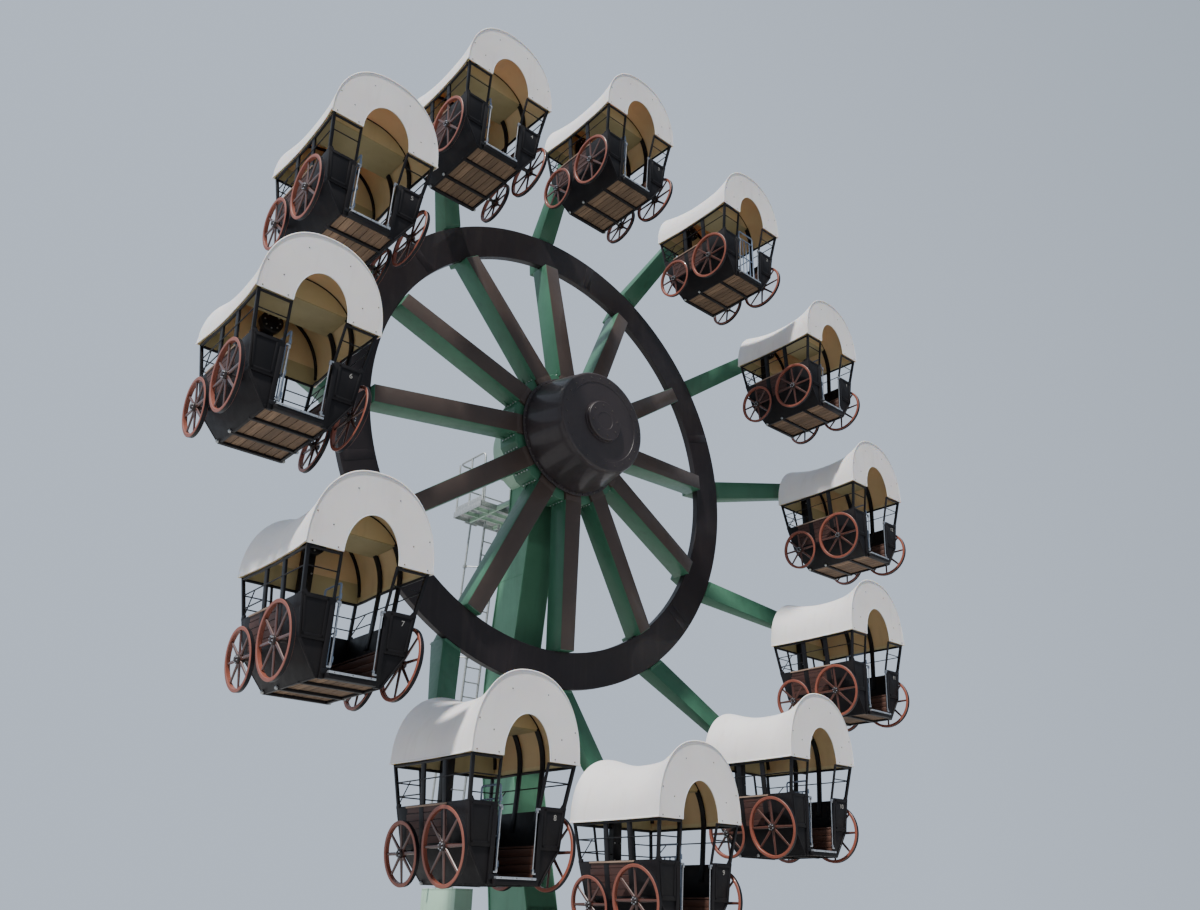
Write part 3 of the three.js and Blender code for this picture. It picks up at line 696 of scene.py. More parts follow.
def waist_ceiling():
    """The flat inner ceiling at the canopy's waist and the upright sheets from its ends to the roof."""
    made = Work(LINING_KHAKI, LINING_TAN)
    inset = SHELL + 0.006
    start, end = CEILING
    sheet, seams = [], []
    for i in range(CEILING_STEPS + 1):
        share = start + (end - start) * i / CEILING_STEPS
        angle = math.asin((CEILING_TOP / (along(HEIGHTS, share) - inset)) ** (1 / ROUNDNESS))
        y, half = FRONT + share * LENGTH, hoop(share, angle, inset)[0]
        sheet.append([(x, y, z) for x, z in oblong(-half, half, EAVES + CEILING_FOOT, EAVES + CEILING_TOP)])
        if i in (0, CEILING_STEPS):
            roof = [hoop(share, angle + (math.pi - 2 * angle) * k / 24, inset) for k in range(25)]
            made.prism_y(roof, y - 0.006, y + 0.006, 1)
            seams.append([(x, y - 0.010, z - 0.006) for x, z in roof])
    made.loft(sheet)
    return joined("waist_ceiling", [made.mesh("ceiling"), tube(seams[:1], FRAME_BLACK, 0.009, 0.0, 6)])


def canopy_trim():
    """The lining's pale lower edge, its rear band, the dark rear hoop and the front sheet's rivets."""
    made = Work(LINING_PALE, FRAME_BLACK, LINING_KHAKI)
    for side in (-1, 1):
        rings = []
        for i in range(13):
            share = i / 12
            x = HALF * along(WIDTHS, min(max(share, 0.012), 0.988)) - SHELL - 0.004
            y = FRONT + 0.03 + share * (LENGTH - 0.055)
            edge = oblong(EAVES + 0.002, EAVES + 0.058, side * x, side * (x - 0.004))
            rings.append([(px, y, z) for z, px in edge])
        made.loft(rings)
    inside = REAR - 0.004 - SHELL
    band = []
    for i in range(21):
        z = 0.30 * i / 20
        angle = math.asin(min(1.0, (z / HEIGHTS[-1][1]) ** (1 / ROUNDNESS)))
        band.append(hoop(1.0, angle, 0.02))
    # The khaki band low on the rear sheet's inside is painted shade, darker where less light comes through
    # the lining.
    made.prism_y(band + [(-x, z) for x, z in band[::-1]], inside - 0.005, inside - 0.0005, 2)
    path = [hoop(0.975, math.pi * i / 40, SHELL + 0.012) for i in range(1, 40)]
    made.ribbon_y(path, inside - 0.036, 0.062, 0.020, 1)
    rivets = ((0.80, 0.035), (0.46, 0.035), (0.79, 0.42), (0.56, 0.30), (0.30, 0.86))
    spots = [((side * x, FRONT + 0.006, EAVES + z), (0, -1, 0)) for side in (-1, 1) for x, z in rivets]
    heads = studs(spots, DARK_BOLT, 0.010, 0.006, 8, 0.6)
    return joined("canopy_trim", [made.mesh("lining_edge"), heads, waist_ceiling()])


# Shape of a wagon's box and posts
def between(a, b, share):
    return [p + (q - p) * share for p, q in zip(a, b)]


def level(z):
    """Half width, front and rear of the box at a height."""
    low, high = (BOX_MIDDLE, BOX_TOP) if z >= BOX_MIDDLE[0] else (BOX_FLOOR, BOX_MIDDLE)
    share = (z - low[0]) / (high[0] - low[0])
    return [p + share * (q - p) for p, q in zip(low[1:], high[1:])]


def on_front(x, z, lift=0.0):
    return (x, level(z)[1] - lift, z)


def on_side(side, share, z, inset=0.0):
    """A point on the box's side at a share of the canopy's length, kept within the box."""
    half, front, rear = level(z)
    return (side * (half - inset), min(max(FRONT + share * LENGTH, front), rear), z)


def post_line(foot, top):
    """The place on a leaning post at a height, as a function."""
    def at(z):
        share = (z - BOX_TOP[0]) / (EAVES - BOX_TOP[0])
        return (foot[0] + share * (top[0] - foot[0]), foot[1] + share * (top[1] - foot[1]), z)
    return at


def front_corner(side):
    return post_line((side * POST_FOOT, BOX_TOP[2] + 0.025), (side * EAVES_HALF, EAVES_FRONT))


def rear_corner(side):
    return post_line((side * POST_FOOT, BOX_TOP[3] - 0.025), (side * EAVES_HALF, EAVES_REAR))


def jamb(side):
    return post_line((side * 0.352, BOX_TOP[2] + 0.025), (side * JAMB_TOP, EAVES_FRONT))


def rear_upright(side):
    return post_line((side * 0.40, BOX_TOP[3] - 0.025), (side * 0.43, EAVES_REAR))


# Frame, box and floor of a wagon
def bow_path(share, side):
    """One side of a flat bow, from inside the box up to where the roof begins to close."""
    high = HALF * along(WIDTHS, share) - 0.036
    foot = BOX_TOP[0] - 0.25
    inner = BOX_TOP[1] - 0.026
    path = [(side * (level(foot)[0] - 0.035), foot), (side * inner, BOX_TOP[0]),
            (side * (high + inner) / 2, (BOX_TOP[0] + EAVES) / 2), (side * high, EAVES + 0.02)]
    for i in range(1, 12):
        x, z = hoop(share, math.radians(4.6 * i), 0.036)
        if z - EAVES > 0.62 * along(HEIGHTS, share):
            break
        if z > EAVES + 0.06:
            path.append((side * x, z))
    return path


def eaves_line(side):
    """The eaves tube of one side, from the doorway's jamb round the corner to the middle of the rear."""
    height = EAVES - 0.022
    line = [(side * JAMB_TOP, EAVES_FRONT, height), (side * EAVES_HALF, EAVES_FRONT, height)]
    for share in (0.15, 0.3, 0.5, 0.7, 0.85):
        line.append((side * (HALF * along(WIDTHS, share) - 0.034), FRONT + share * LENGTH, height))
    return line + [(side * EAVES_HALF, EAVES_REAR, height), (0, EAVES_REAR, height)]


def wagon_frame():
    made = Work(FRAME_BLACK)
    for side in (-1, 1):
        for line, half, foot in ((front_corner(side), 0.022, 0.10), (rear_corner(side), 0.021, 0.10),
                                 (jamb(side), 0.016, 0.06), (rear_upright(side), 0.015, 0.04)):
            rings = []
            for x, y, z in (line(BOX_TOP[0] - foot), line(EAVES - 0.002)):
                rings.append([(px, py, z) for px, py in oblong(x - half, x + half, y - half, y + half)])
            made.loft(rings)
        for share in BOW_SHARES:
            made.ribbon_y(bow_path(share, side), FRONT + share * LENGTH, 0.088, 0.030)
    posts = made.mesh("posts", 0.003)
    hoops = tube([eaves_line(side) for side in (-1, 1)], FRAME_BLACK, 0.020, 0.05)
    mid, low = EAVES - 0.24, EAVES - 0.42
    paths, stays = [], []
    for side in (-1, 1):
        front, rear = front_corner(side), rear_corner(side)
        post, upright = jamb(side), rear_upright(side)
        paths.append([post(mid), front(mid), rear(mid), upright(mid)])
        start = between(front(low), rear(low), BOW_SHARES[1] + 0.02)
        paths.append([start, rear(low), upright(low), (0, upright(low)[1], low)])
        stays.append([between(front(mid), rear(mid), 0.80), rear(BOX_TOP[0] + 0.02)])
    rails = tube(paths, FRAME_BLACK, 0.009, 0.03, 8)
    return joined("wagon_frame", [posts, hoops, rails, tube(stays, FRAME_BLACK, 0.008, 0.0, 6)])


def panel_outline(side):
    """A front panel in (x, z): a raised ear at its outer top corner, a rounded corner at the doorway."""
    top, foot = BOX_TOP[0], BOX_MIDDLE[0]
    outer, low = BOX_TOP[1] + 0.002, BOX_MIDDLE[1] + 0.002
    radius = 0.075 if side > 0 else 0.03
    line = [(low, foot), (outer, top + 0.045), (outer - 0.055, top + 0.045), (outer - 0.085, top)]
    for i in range(7):
        a = i * math.pi / 12
        line.append((DOORWAY + radius - radius * math.sin(a), top - radius + radius * math.cos(a)))
    line.append((DOORWAY, foot))
    return [(side * x, z) for x, z in line]


def wagon_walls():
    made = Work(BOX_BLACK)
    foot, floor, top = BOX_MIDDLE[0], BOX_FLOOR[0], BOX_TOP[0]
    for side in (-1, 1):
        made.slab([on_front(x, z) for x, z in panel_outline(side)], (0, 0.036, 0))
        lower = [(BOX_MIDDLE[1], foot), (DOORWAY + 0.02, foot), (DOORWAY + 0.02, floor + 0.004),
                 (BOX_FLOOR[1], floor + 0.004)]
        made.slab([on_front(side * x, z, -0.014) for x, z in lower], (0, 0.022, 0))
        strip = oblong(DOORWAY, DOORWAY + 0.065, top - 0.09, floor)
        made.slab([on_front(side * x, z, 0.009) for x, z in strip], (0, 0.050, 0))
        upper = [on_side(side, s, z, 0.014) for s, z in oblong(0, 1, foot, top)]
        made.slab(upper, (-side * 0.018, 0, 0))
        under = [on_side(side, s, z, 0.002) for s, z in oblong(0, 1, foot, floor)]
        made.slab(under, (-side * 0.022, 0, 0.010))
        for s0, s1, rise in ((0.0, 0.335, 0.004), (0.80, 1.0, 0.035)):
            plate = [on_side(side, s, z) for s, z in oblong(s0, s1, foot - 0.01, top - 0.012)]
            made.slab(plate, (-side * 0.016, 0, 0))
            end = BOX_TOP[3] if s1 == 1.0 else BOX_TOP[2] + 0.09
            made.block(*span(side, BOX_TOP[1], BOX_TOP[1] - 0.03), end - 0.09, end, top - 0.02, top + rise)
        belts = [oblong(0.0, 1.0, foot - 0.004, foot + 0.05)]
        belts += [oblong(share - 0.028, share + 0.028, foot, top) for share in BOW_SHARES]
        for belt in belts:
            made.slab([on_side(side, s, z, -0.003) for s, z in belt], (-side * 0.02, 0, 0))
    for (z0, half0, _, rear0), (z1, half1, _, rear1) in ((BOX_MIDDLE, BOX_TOP), (BOX_FLOOR, BOX_MIDDLE)):
        rear = [(-half0, rear0, z0), (half0, rear0, z0), (half1, rear1, z1), (-half1, rear1, z1)]
        made.slab(rear, (0, -0.030, 0))
    sill = BOX_FLOOR[2]
    made.block(-DOORWAY, DOORWAY, sill - 0.072, sill + 0.03, floor + 0.006, FLOOR_TOP)
    return made.mesh("walls", 0.004)


def panel_moulding():
    """Raised strips round each front panel."""
    made = Work(BOX_BLACK)
    low, high = BOX_MIDDLE[0] + 0.035, BOX_TOP[0] - 0.025
    near, wide = DOORWAY + 0.09, 0.028
    lines = []
    for z in (BOX_TOP[0] - 0.055, low):
        edge = level(z)[0] - 0.03
        lines.append([(near, z), (edge, z), (edge + 0.003, z + 0.03), (near, z + 0.03)])
    inner, outer = [], []
    for share, z in oblong(0, 1, low, high):
        inner.append((near + wide * share, z))
        outer.append((level(z)[0] - 0.03 - wide * share, z))
    for side in (-1, 1):
        for line in lines + [inner, outer]:
            made.slab([on_front(side * x, z, 0.007) for x, z in line], (0, 0.012, 0))
    return made.mesh("panel_moulding", 0.002)


def wagon_box():
    return joined("wagon_box", [wagon_walls(), panel_moulding()])


def side_boards(side):
    """Upright wall of five boards, leaning as the box's side does, under a pale rail."""
    z0, z1 = BOX_MIDDLE[0] + 0.045, BOX_TOP[0] - 0.006
    y0, y1 = FRONT + 0.32 * LENGTH, FRONT + 0.815 * LENGTH
    height = (z1 - z0) / 5
    size = (0.018, y1 - y0, height - 0.007)
    boards = row(SIDE_BOARDS, 5, (0, 0, -2 * height), (0, 0, height), size, seed=5)
    start = (side * 0.008, 0, 2.5 * height - 0.012)
    rail = row(RAIL_WOOD, 1, start, (0, 0, 1), (0.030, y1 - y0, 0.024), seed=5)
    lean = math.atan((BOX_TOP[1] - BOX_MIDDLE[1]) / (BOX_TOP[0] - BOX_MIDDLE[0]))
    middle = (z0 + z1) / 2
    move = Matrix.Translation((side * (level(middle)[0] - 0.010), (y0 + y1) / 2, middle))
    turn = Matrix.Rotation(side * lean, 4, "Y")
    for mesh in (boards, rail):
        mesh.transform(move @ turn)
    return [rounded(boards, 0.003, 1), rounded(rail, 0.004, 1)]


def wagon_boards():
    """Stained boards of the side walls, the benches and their fronts."""
    pieces = []
    fronts = Work(SEAT_BOARDS)
    for side in (-1, 1):
        pieces += side_boards(side)
        y0, y1 = FRONT + 0.20, REAR - 0.25
        start = (side * (WELL + 0.040), (y0 + y1) / 2, SEAT_TOP - 0.012)
        seat = row(SEAT_BOARDS, 3, start, (side * 0.099, 0, 0), (0.092, y1 - y0, 0.024), 0.002, 8)
        pieces.append(rounded(seat, 0.003, 1))
        inner, outer = span(side, WELL, WELL + 0.018)
        step = (SEAT_TOP - 0.03 - FLOOR_TOP) / 4
        for i in range(4):
            z = FLOOR_TOP + i * step
            ring = []
            for height in (z + 0.003, z + step - 0.003):
                _, front, rear = level(height)
                corners = oblong(inner, outer, front + 0.036, rear - 0.034)
                ring.append([(x, y, height) for x, y in corners])
            fronts.loft(ring)
    pieces.append(fronts.mesh("bench_fronts", 0.003))
    return joined("wagon_boards", pieces)


def wagon_floor():
    count = 7
    half = BOX_FLOOR[1] - 0.03
    width = 2 * half / count
    y0, y1 = BOX_FLOOR[2] + 0.03, BOX_FLOOR[3] - 0.03
    start = (-half + width / 2, (y0 + y1) / 2, BOX_FLOOR[0] + 0.044)
    planks = row(FLOOR_BOARDS, count, start, (width, 0, 0), (width - 0.010, y1 - y0, 0.026), 0.003, 11)
    return rounded(planks, 0.003, 1)


def wagon_beams():
    """Cross beams under the floor, with turned end knobs."""
    made = Work(BOX_BLACK)
    knobs = Work(ZINC)
    half, low = BOX_FLOOR[1], BOX_FLOOR[0]
    middle, last = FRONT + 1.16, BOX_FLOOR[3] - 0.04
    for y in (FRONT + 0.60, middle, last):
        made.block(-half - 0.01, half + 0.01, y - 0.028, y + 0.028, low - 0.004, low + 0.034)
    knob = [(-0.012, 0.012), (0.0, 0.026), (0.022, 0.026), (0.034, 0.012)]
    for side in (-1, 1):
        x0, x1 = span(side, half + 0.004, half - 0.036)
        made.block(x0, x1, BOX_FLOOR[2] + 0.01, BOX_FLOOR[3], low, low + 0.05)
        for y in (middle, last):
            profile = [(side * (half + 0.01 + x), radius) for x, radius in knob]
            knobs.lathe_x(profile, (y, low + 0.02), 12)
    return joined("wagon_beams", [made.mesh("beams", 0.004), knobs.mesh("knobs")])


def hanger():
    """The rear plate that hangs the wagon from its axle, with the bearing's housing."""
    made = Work(FRAME_BLACK)
    y0, y1 = REAR - 0.135, REAR - 0.022
    face = y0 - 0.120
    outline = [(-0.088, BOX_TOP[0] - 0.02), (0.088, BOX_TOP[0] - 0.02), (0.088, 0.10), (0.06, 0.13),
               (-0.06, 0.13), (-0.088, 0.10)]
    made.prism_y(outline, y0, y1)
    made.lathe_y([(y0 - 0.02, 0.055), (0.10, 0.055)], 24)
    made.lathe_y([(-0.155, 0.085), (-0.15, 0.11), (-0.112, 0.11), (-0.107, 0.10)], 24)
    made.lathe_y([(face, 0.150), (y0 - 0.112, 0.168), (y0 - 0.012, 0.172), (y0 - 0.004, 0.165)], 32)
    plate = made.mesh("hanger", 0.004)
    heights = (BOX_TOP[0] + 0.05, EAVES - 0.25, EAVES + 0.25)
    spots = bolt_circle(8, 0.115, face, -1)
    spots += [((x, y0, z), (0, -1, 0)) for x in (-0.06, 0.06) for z in heights]
    return joined("hanger", [plate, studs(spots, ZINC, 0.014, 0.010)])


# Side wheels of a wagon, made round the origin with their axle along X
ACROSS = Matrix(((0, 0, 1, 0), (1, 0, 0, 0), (0, 1, 0, 0), (0, 0, 0, 1)))


def tyre(radius):
    made = Work(TYRE_RED, FRAME_BLACK)
    inner = radius - 0.048
    profile = [(-0.030, inner + 0.006), (-0.030, radius - 0.007), (-0.024, radius), (0.024, radius),
               (0.030, radius - 0.007), (0.030, inner + 0.006), (0.024, inner), (-0.024, inner)]
    rings = [[(x, r * math.cos(a), r * math.sin(a)) for x, r in profile] for a in circle(64)]
    made.loft(rings, closed=True)
    mesh = made.mesh("tyre")
    # The tread faces take the black paint: painted shade on the tyre's running face.
    for face in mesh.polygons:
        if math.hypot(face.center.y, face.center.z) > radius - 0.003:
            face.material_index = 1
    return mesh


def wheel_hub(reach):
    made = Work(WHEEL_HUB)
    made.lathe_x([(-reach, 0.030), (-0.05, 0.030), (-0.05, 0.048), (-0.035, 0.056), (0.035, 0.056),
                  (0.048, 0.048), (0.050, 0.032), (0.066, 0.030), (0.070, 0.022)], (0, 0), 20)
    for x in (-0.040, 0.032):
        made.lathe_x([(x, 0.056), (x + 0.002, 0.060), (x + 0.008, 0.060), (x + 0.010, 0.056)], (0, 0), 20)
    hub = made.mesh("wheel_hub")
    spots = [((0.049, 0.041 * math.cos(a), 0.041 * math.sin(a)), (1, 0, 0)) for a in circle(6, 0.4)]
    return joined("wheel_hub", [hub, studs(spots, BRIGHT_STEEL, 0.010, 0.012)])


def wheel_spokes(radius):
    mesh = SPOKES.make(SPOKE_RED, Count=8, Hub_radius=0.044, Length=radius - 0.086, Thick_end=0.025,
                       Thin_end=0.018)
    mesh.transform(Matrix.Scale(0.7, 4, (1, 0, 0)) @ ACROSS)
    return mesh


def mirrored(mesh):
    made = mesh.copy()
    made.transform(Matrix.Scale(-1, 4, (1, 0, 0)))
    return smooth(turn_out(made))


def side_wheels():
    tyres, wood = [], []
    for x, y, z, radius, lean in (FRONT_WHEEL, REAR_WHEEL):
        stand = Matrix.Translation((x, y, z)) @ Matrix.Rotation(math.radians(lean), 4, "Y")
        for group, mesh in ((tyres, tyre(radius)), (wood, wheel_spokes(radius)), (wood, wheel_hub(x - 0.69))):
            mesh.transform(stand)
            group.append(mesh)
    tyres += [mirrored(mesh) for mesh in tyres]
    wood += [mirrored(mesh) for mesh in wood]
    return joined("tyres", tyres), joined("wheel_wood", wood)


# Rods, threshold, number and gate
def bright_work():
    """Grab rods beside the doorway and the threshold."""
    paths = []
    clamps = Work(STAINLESS)
    for side in (-1, 1):
        x = side * (DOORWAY - 0.045)
        ends = [on_front(x, z, 0.012) for z in (BOX_TOP[0] - 0.04, FLOOR_TOP + 0.08)]
        paths.append(ends)
        for (_, y, z), way in zip(ends, (-1, 1)):
            clamps.block(*span(side, DOORWAY - 0.059, DOORWAY), y - 0.012, y + 0.014, z - 0.012, z + 0.012)
            clamps.block(x - 0.016, x + 0.016, y - 0.016, y + 0.016, *sorted((z, z + way * 0.05)))
    rods = tube(paths, STAINLESS, 0.009)
    made = Work(BRIGHT_STEEL)
    front = BOX_FLOOR[2] - 0.072
    reach = DOORWAY - 0.02
    made.block(-reach, reach, front - 0.008, front + 0.05, FLOOR_TOP + 0.001, FLOOR_TOP + 0.030)
    bar = made.mesh("threshold", 0.004)
    spots = [((x, front - 0.008, FLOOR_TOP + 0.016), (0, -1, 0)) for x in (-0.24, 0.0, 0.24)]
    screws = studs(spots, DARK_BOLT, 0.008, 0.004)
    return joined("bright_work", [rods, clamps.mesh("clamps", 0.004), bar, screws])


def number(text):
    """The wagon's plain number on its right front panel."""
    curve = bpy.data.curves.new("number", "FONT")
    curve.body = text
    curve.size = 0.10
    curve.extrude = 0.0015
    curve.align_x = "CENTER"
    holder = put("number", curve)
    bpy.context.view_layer.update()
    view = bpy.context.evaluated_depsgraph_get()
    mesh = bpy.data.meshes.new_from_object(holder.evaluated_get(view), depsgraph=view)
    bpy.data.objects.remove(holder)
    bpy.data.curves.remove(curve)
    mesh.materials.clear()
    mesh.materials.append(PALE_MARK)
    lean = math.atan((BOX_MIDDLE[2] - BOX_TOP[2]) / (BOX_TOP[0] - BOX_MIDDLE[0]))
    spot = on_front(0.60, BOX_TOP[0] - 0.16, 0.001)
    mesh.transform(Matrix.Translation(spot) @ Matrix.Rotation(math.pi / 2 + lean, 4, "X"))
    return mesh


def gate():
    """A gate along +X from its hinge line on the Z axis."""
    radius, bar = 0.014, 0.014
    low, high = GATE_BOTTOM + radius, GATE_TOP - radius
    width = GATE_WIDTH - 2 * radius
    near, far = radius, radius + width
    loop = tube([[(near, 0, low), (near, 0, high), (far, 0, high), (far, 0, low)]], GATE_BLUE, radius, 0.035,
                closed=True)
    rail = high - 0.17
    middle = low + 0.42
    rails = tube([[(near, 0, z), (far, 0, z)] for z in (rail, middle)], GATE_BLUE, 0.011, 0.0, 8)
    step = width / 4
    pieces = [loop, rails]
    for foot, top in ((middle, rail), (low, middle)):
        start = (near + step, 0, (top + foot) / 2)
        pieces.append(row(GATE_BLUE, 3, start, (step, 0, 0), (bar, bar, top - foot)))
    made = Work(GATE_BLUE)
    for z in (low + 0.1, middle, rail):
        made.pin_z(0, 0, 0.019, z - 0.035, z + 0.035)
    return joined("gate", pieces + [made.mesh("hinges")])


def gate_step():
    """The block on the floor with the gate's lower pivot."""
    x, y = GATE_HINGE
    made = Work(FRAME_BLACK)
    made.block(-WELL, x + 0.02, y - 0.022, y + 0.022, FLOOR_TOP - 0.004, GATE_BOTTOM - 0.006)
    made.pin_z(x, y, 0.012, GATE_BOTTOM - 0.01, GATE_BOTTOM - 0.001)
    return made.mesh("gate_step", 0.002)


def pivot(n):
    turn = math.radians(REST_TURN + n * 360 / WAGONS)
    return Vector((PIVOT_CIRCLE * math.cos(turn), WAGON_PLANE, AXIS_Z + PIVOT_CIRCLE * math.sin(turn)))


def copy_to(mesh, move):
    made = mesh.copy()
    made.transform(move)
    return made


def build_wagons():
    tyres, wood = side_wheels()
    box, canopy_mesh, gate_mesh = wagon_box(), canopy(), gate()
    shared = {"canopy_trim": canopy_trim(), "frame": wagon_frame(), "boards": wagon_boards(),
              "floor_planks": wagon_floor(), "cross_beams": wagon_beams(), "hanger": hanger(), "tyres": tyres,
              "wheel_spokes_hubs": wood, "grab_rods": bright_work(), "gate_step": gate_step()}
    for n in range(1, WAGONS + 1):
        body = "wagon_%02d" % n
        move = Matrix.Translation(pivot(n))
        roof = copy_to(canopy_mesh, move)
        place(body + "_canopy_moulding", roof, body, body + "_canopy", slot="canopy_white")
        place(body + "_box", copy_to(box, move), body, body + "_body", slot="wagon_brown")
        for label, mesh in shared.items():
            place(body + "_" + label, copy_to(mesh, move), body)
        place(body + "_number", copy_to(number(str(n)), move), body)
        turn = 0 if n in CLOSED_GATES else math.pi / 2
        hinge = Matrix.Translation((*GATE_HINGE, 0)) @ Matrix.Rotation(turn, 4, "Z")
        swung = copy_to(gate_mesh, move @ hinge)
        place(body + "_swing_gate", swung, "gate_%02d" % n, body + "_gate", slot="gate_steel")


# Wheel: rim, spokes with their arms, hub
HUB = Matrix.Translation((0, 0, AXIS_Z))
SPOKE_STEP = 360 / WAGONS
DRUM = 1.29
KNEE = 4.9
RIM_INNER = 4.051
RIM_OUTER = 4.717
RIM_FRONT = 0.028
RIM_REAR = 0.168
SPOKE_END = 4.045
TIP_HALF = 0.105

# distance from the axis, front, depth and width at the ends of a spoke's and an arm's lengths
SPOKE_ROOT = (DRUM + 0.0004, -0.446, 0.43, 0.39)
SPOKE_KNEE = (KNEE, 0.028, 0.43, 0.31)
RIM_SEAT = ((4.04, 0.170, 0.30, 0.325), (4.72, 0.170, 0.30, 0.312))
ARM_COLLAR = ((4.722, 0.030, 0.43, 0.34), (4.79, 0.030, 0.42, 0.40))
ARM_ROOT = (4.747, 0.048, 0.39, 0.40)
ARM_TIP = (PIVOT_CIRCLE, WAGON_PLANE - TIP_HALF, 2 * TIP_HALF, 0.35)

# distance along the axis and radius
BARREL_FRONT = -1.387
BARREL_PROFILE = (
    (-0.40, 1.125), (-0.465, 1.135), (-0.468, 1.185), (-0.50, 1.190), (-0.504, 1.180), (-0.507, 1.130),
    (-0.70, 1.118), (-1.28, 1.012), (-1.345, 1.000), (-1.372, 0.985), (BARREL_FRONT, 0.955),
    (BARREL_FRONT, 0.80), (-1.379, 0.795), (-1.379, 0.60),
)
CAP_FRONT = -1.457
CAP_PROFILE = (
    (-1.379, 0.42), (-1.392, 0.42), (-1.397, 0.40), (-1.440, 0.392), (-1.456, 0.375), (CAP_FRONT, 0.18),
    (-1.449, 0.17), (-1.449, 0.02),
)


def turned(n):
    return HUB @ Matrix.Rotation(-math.radians(REST_TURN + n * SPOKE_STEP), 4, "Y")


def end_of(x, front, depth, width):
    return [(x, y, z) for y, z in oblong(front, front + depth, -width / 2, width / 2)]


def spoke_arm():
    made = Work(SHADED_SPOKE_GREEN)
    cut = between(SPOKE_ROOT, SPOKE_KNEE, (SPOKE_END - SPOKE_ROOT[0]) / (KNEE - SPOKE_ROOT[0]))
    for inner, outer in ((SPOKE_ROOT, cut), RIM_SEAT, ARM_COLLAR, (ARM_ROOT, ARM_TIP)):
        made.hexahedron(end_of(*inner), end_of(*outer))
    body = made.mesh("spoke_and_arm", 0.012)
    plates = Work(SPOKE_BROWN)
    ends = []
    for share in (0.0005, 0.995):
        x, front, _, width = between(SPOKE_ROOT, cut, share)
        ends.append(end_of(x, front - 0.006, 0.010, width - 0.018))
    plates.hexahedron(*ends)
    boss = Work(SHADED_SPOKE_GREEN, ZINC, DARK_BROWN)
    y0, y1 = WAGON_PLANE - TIP_HALF, WAGON_PLANE + TIP_HALF
    boss.lathe_y([(y0, 0.160), (y0 + 0.012, 0.175), (y1 - 0.012, 0.175), (y1, 0.160)], 40, 0, PIVOT_CIRCLE)
    cover = [(y1 - 0.004, 0.11), (y1 + 0.004, 0.12), (y1 + 0.028, 0.12), (y1 + 0.036, 0.10)]
    boss.lathe_y(cover, 32, 2, PIVOT_CIRCLE)
    spots = bolt_circle(6, 0.085, y1 + 0.036, 1, x=PIVOT_CIRCLE)
    for x in (DRUM + 0.10, DRUM + 0.20):
        back = SPOKE_ROOT[1] + SPOKE_ROOT[2] + 0.0156 * (x - DRUM) / 0.12
        spots += [((x, back, z), (0, 1, 0)) for z in (-0.12, -0.04, 0.04, 0.12)]
    fronts = plates.mesh("front_plates", 0.003)
    bolts = studs(spots, ZINC, 0.016, 0.012)
    return joined("spoke_and_arm", [body, fronts, boss.mesh("tip_boss"), bolts])


def foot_plates():
    """Bolted end plates and gussets where the spokes meet the drum."""
    made = Work(SHADED_SPOKE_GREEN)
    near, edge = DRUM + 0.02, 0.225
    made.block(DRUM + 0.001, DRUM + 0.022, -0.385, 0.02, -0.245, 0.245)
    for side in (-1, 1):
        outline = [(near, side * edge), (DRUM + 0.22, side * (edge - 0.045)), (near, side * (edge - 0.06))]
        for y in (-0.34, -0.10):
            made.prism_y(outline, y - 0.008, y + 0.008)
    rows = (-0.36, -0.28, -0.20, -0.12, -0.03)
    spots = [((DRUM + 0.022, y, side * edge), (1, 0, 0)) for side in (-1, 1) for y in rows]
    return joined("foot_plate", [made.mesh("foot_plate", 0.003), studs(spots, ZINC, 0.017, 0.013)])


def rim():
    made = Work(DARK_BROWN)
    inner, outer, y0, y1 = RIM_INNER, RIM_OUTER, RIM_FRONT, RIM_REAR
    edge = 0.008
    section = [(inner, y0 + edge), (inner + edge, y0), (outer - edge, y0), (outer, y0 + edge),
               (outer, y1 - edge), (outer - edge, y1), (inner + edge, y1), (inner, y1 - edge)]
    rings = [[(r * math.cos(a), y, r * math.sin(a)) for r, y in section] for a in circle(216)]
    made.loft(rings, closed=True)
    spots = []
    for n in range(WAGONS):
        middle = math.radians(REST_TURN + SPOKE_STEP * n)
        for offset in (-0.032, 0.032):
            for radius in (4.12, 4.30, 4.47, 4.65):
                a = middle + offset * 4.38 / radius
                spots.append(((radius * math.cos(a), y1, radius * math.sin(a)), (0, 1, 0)))
    seams = Work(DARK_BROWN)
    for n in range(WAGONS // 2):
        a = math.radians(REST_TURN + SPOKE_STEP / 2 + 2 * SPOKE_STEP * n)
        splice = oblong(inner + 0.05, outer - 0.05, -0.02, 0.02)
        seams.loft([[(r * math.cos(a + w), y, r * math.sin(a + w)) for r, w in splice]
                    for y in (y0 - 0.004, y0 + 0.004)])
    pieces = [made.mesh("rim_band"), studs(spots, DARK_BOLT, 0.017, 0.012), seams.mesh("rim_splices", 0.002)]
    mesh = joined("rim", pieces)
    mesh.transform(HUB)
    return mesh


def hub_barrel():
    made = Work(BARREL_GLOSS)
    made.lathe_y(BARREL_PROFILE, 96)
    shell = made.mesh("barrel", angle=25)
    front = studs(bolt_circle(24, 0.88, BARREL_FRONT, -1, 0.1), DARK_BOLT, 0.014, 0.009)
    flange = studs(bolt_circle(48, 1.158, -0.503, -1), DARK_BOLT, 0.020, 0.016)
    mesh = joined("hub_barrel", [shell, front, flange])
    mesh.transform(HUB)
    return mesh


def hub_cap():
    made = Work(BARREL_GLOSS)
    made.lathe_y(CAP_PROFILE, 64)
    bolts = studs(bolt_circle(8, 0.30, CAP_FRONT, -1, 0.2), DARK_BOLT, 0.016, 0.010)
    mesh = joined("hub_cap", [made.mesh("cap", angle=25), bolts])
    mesh.transform(HUB)
    return mesh


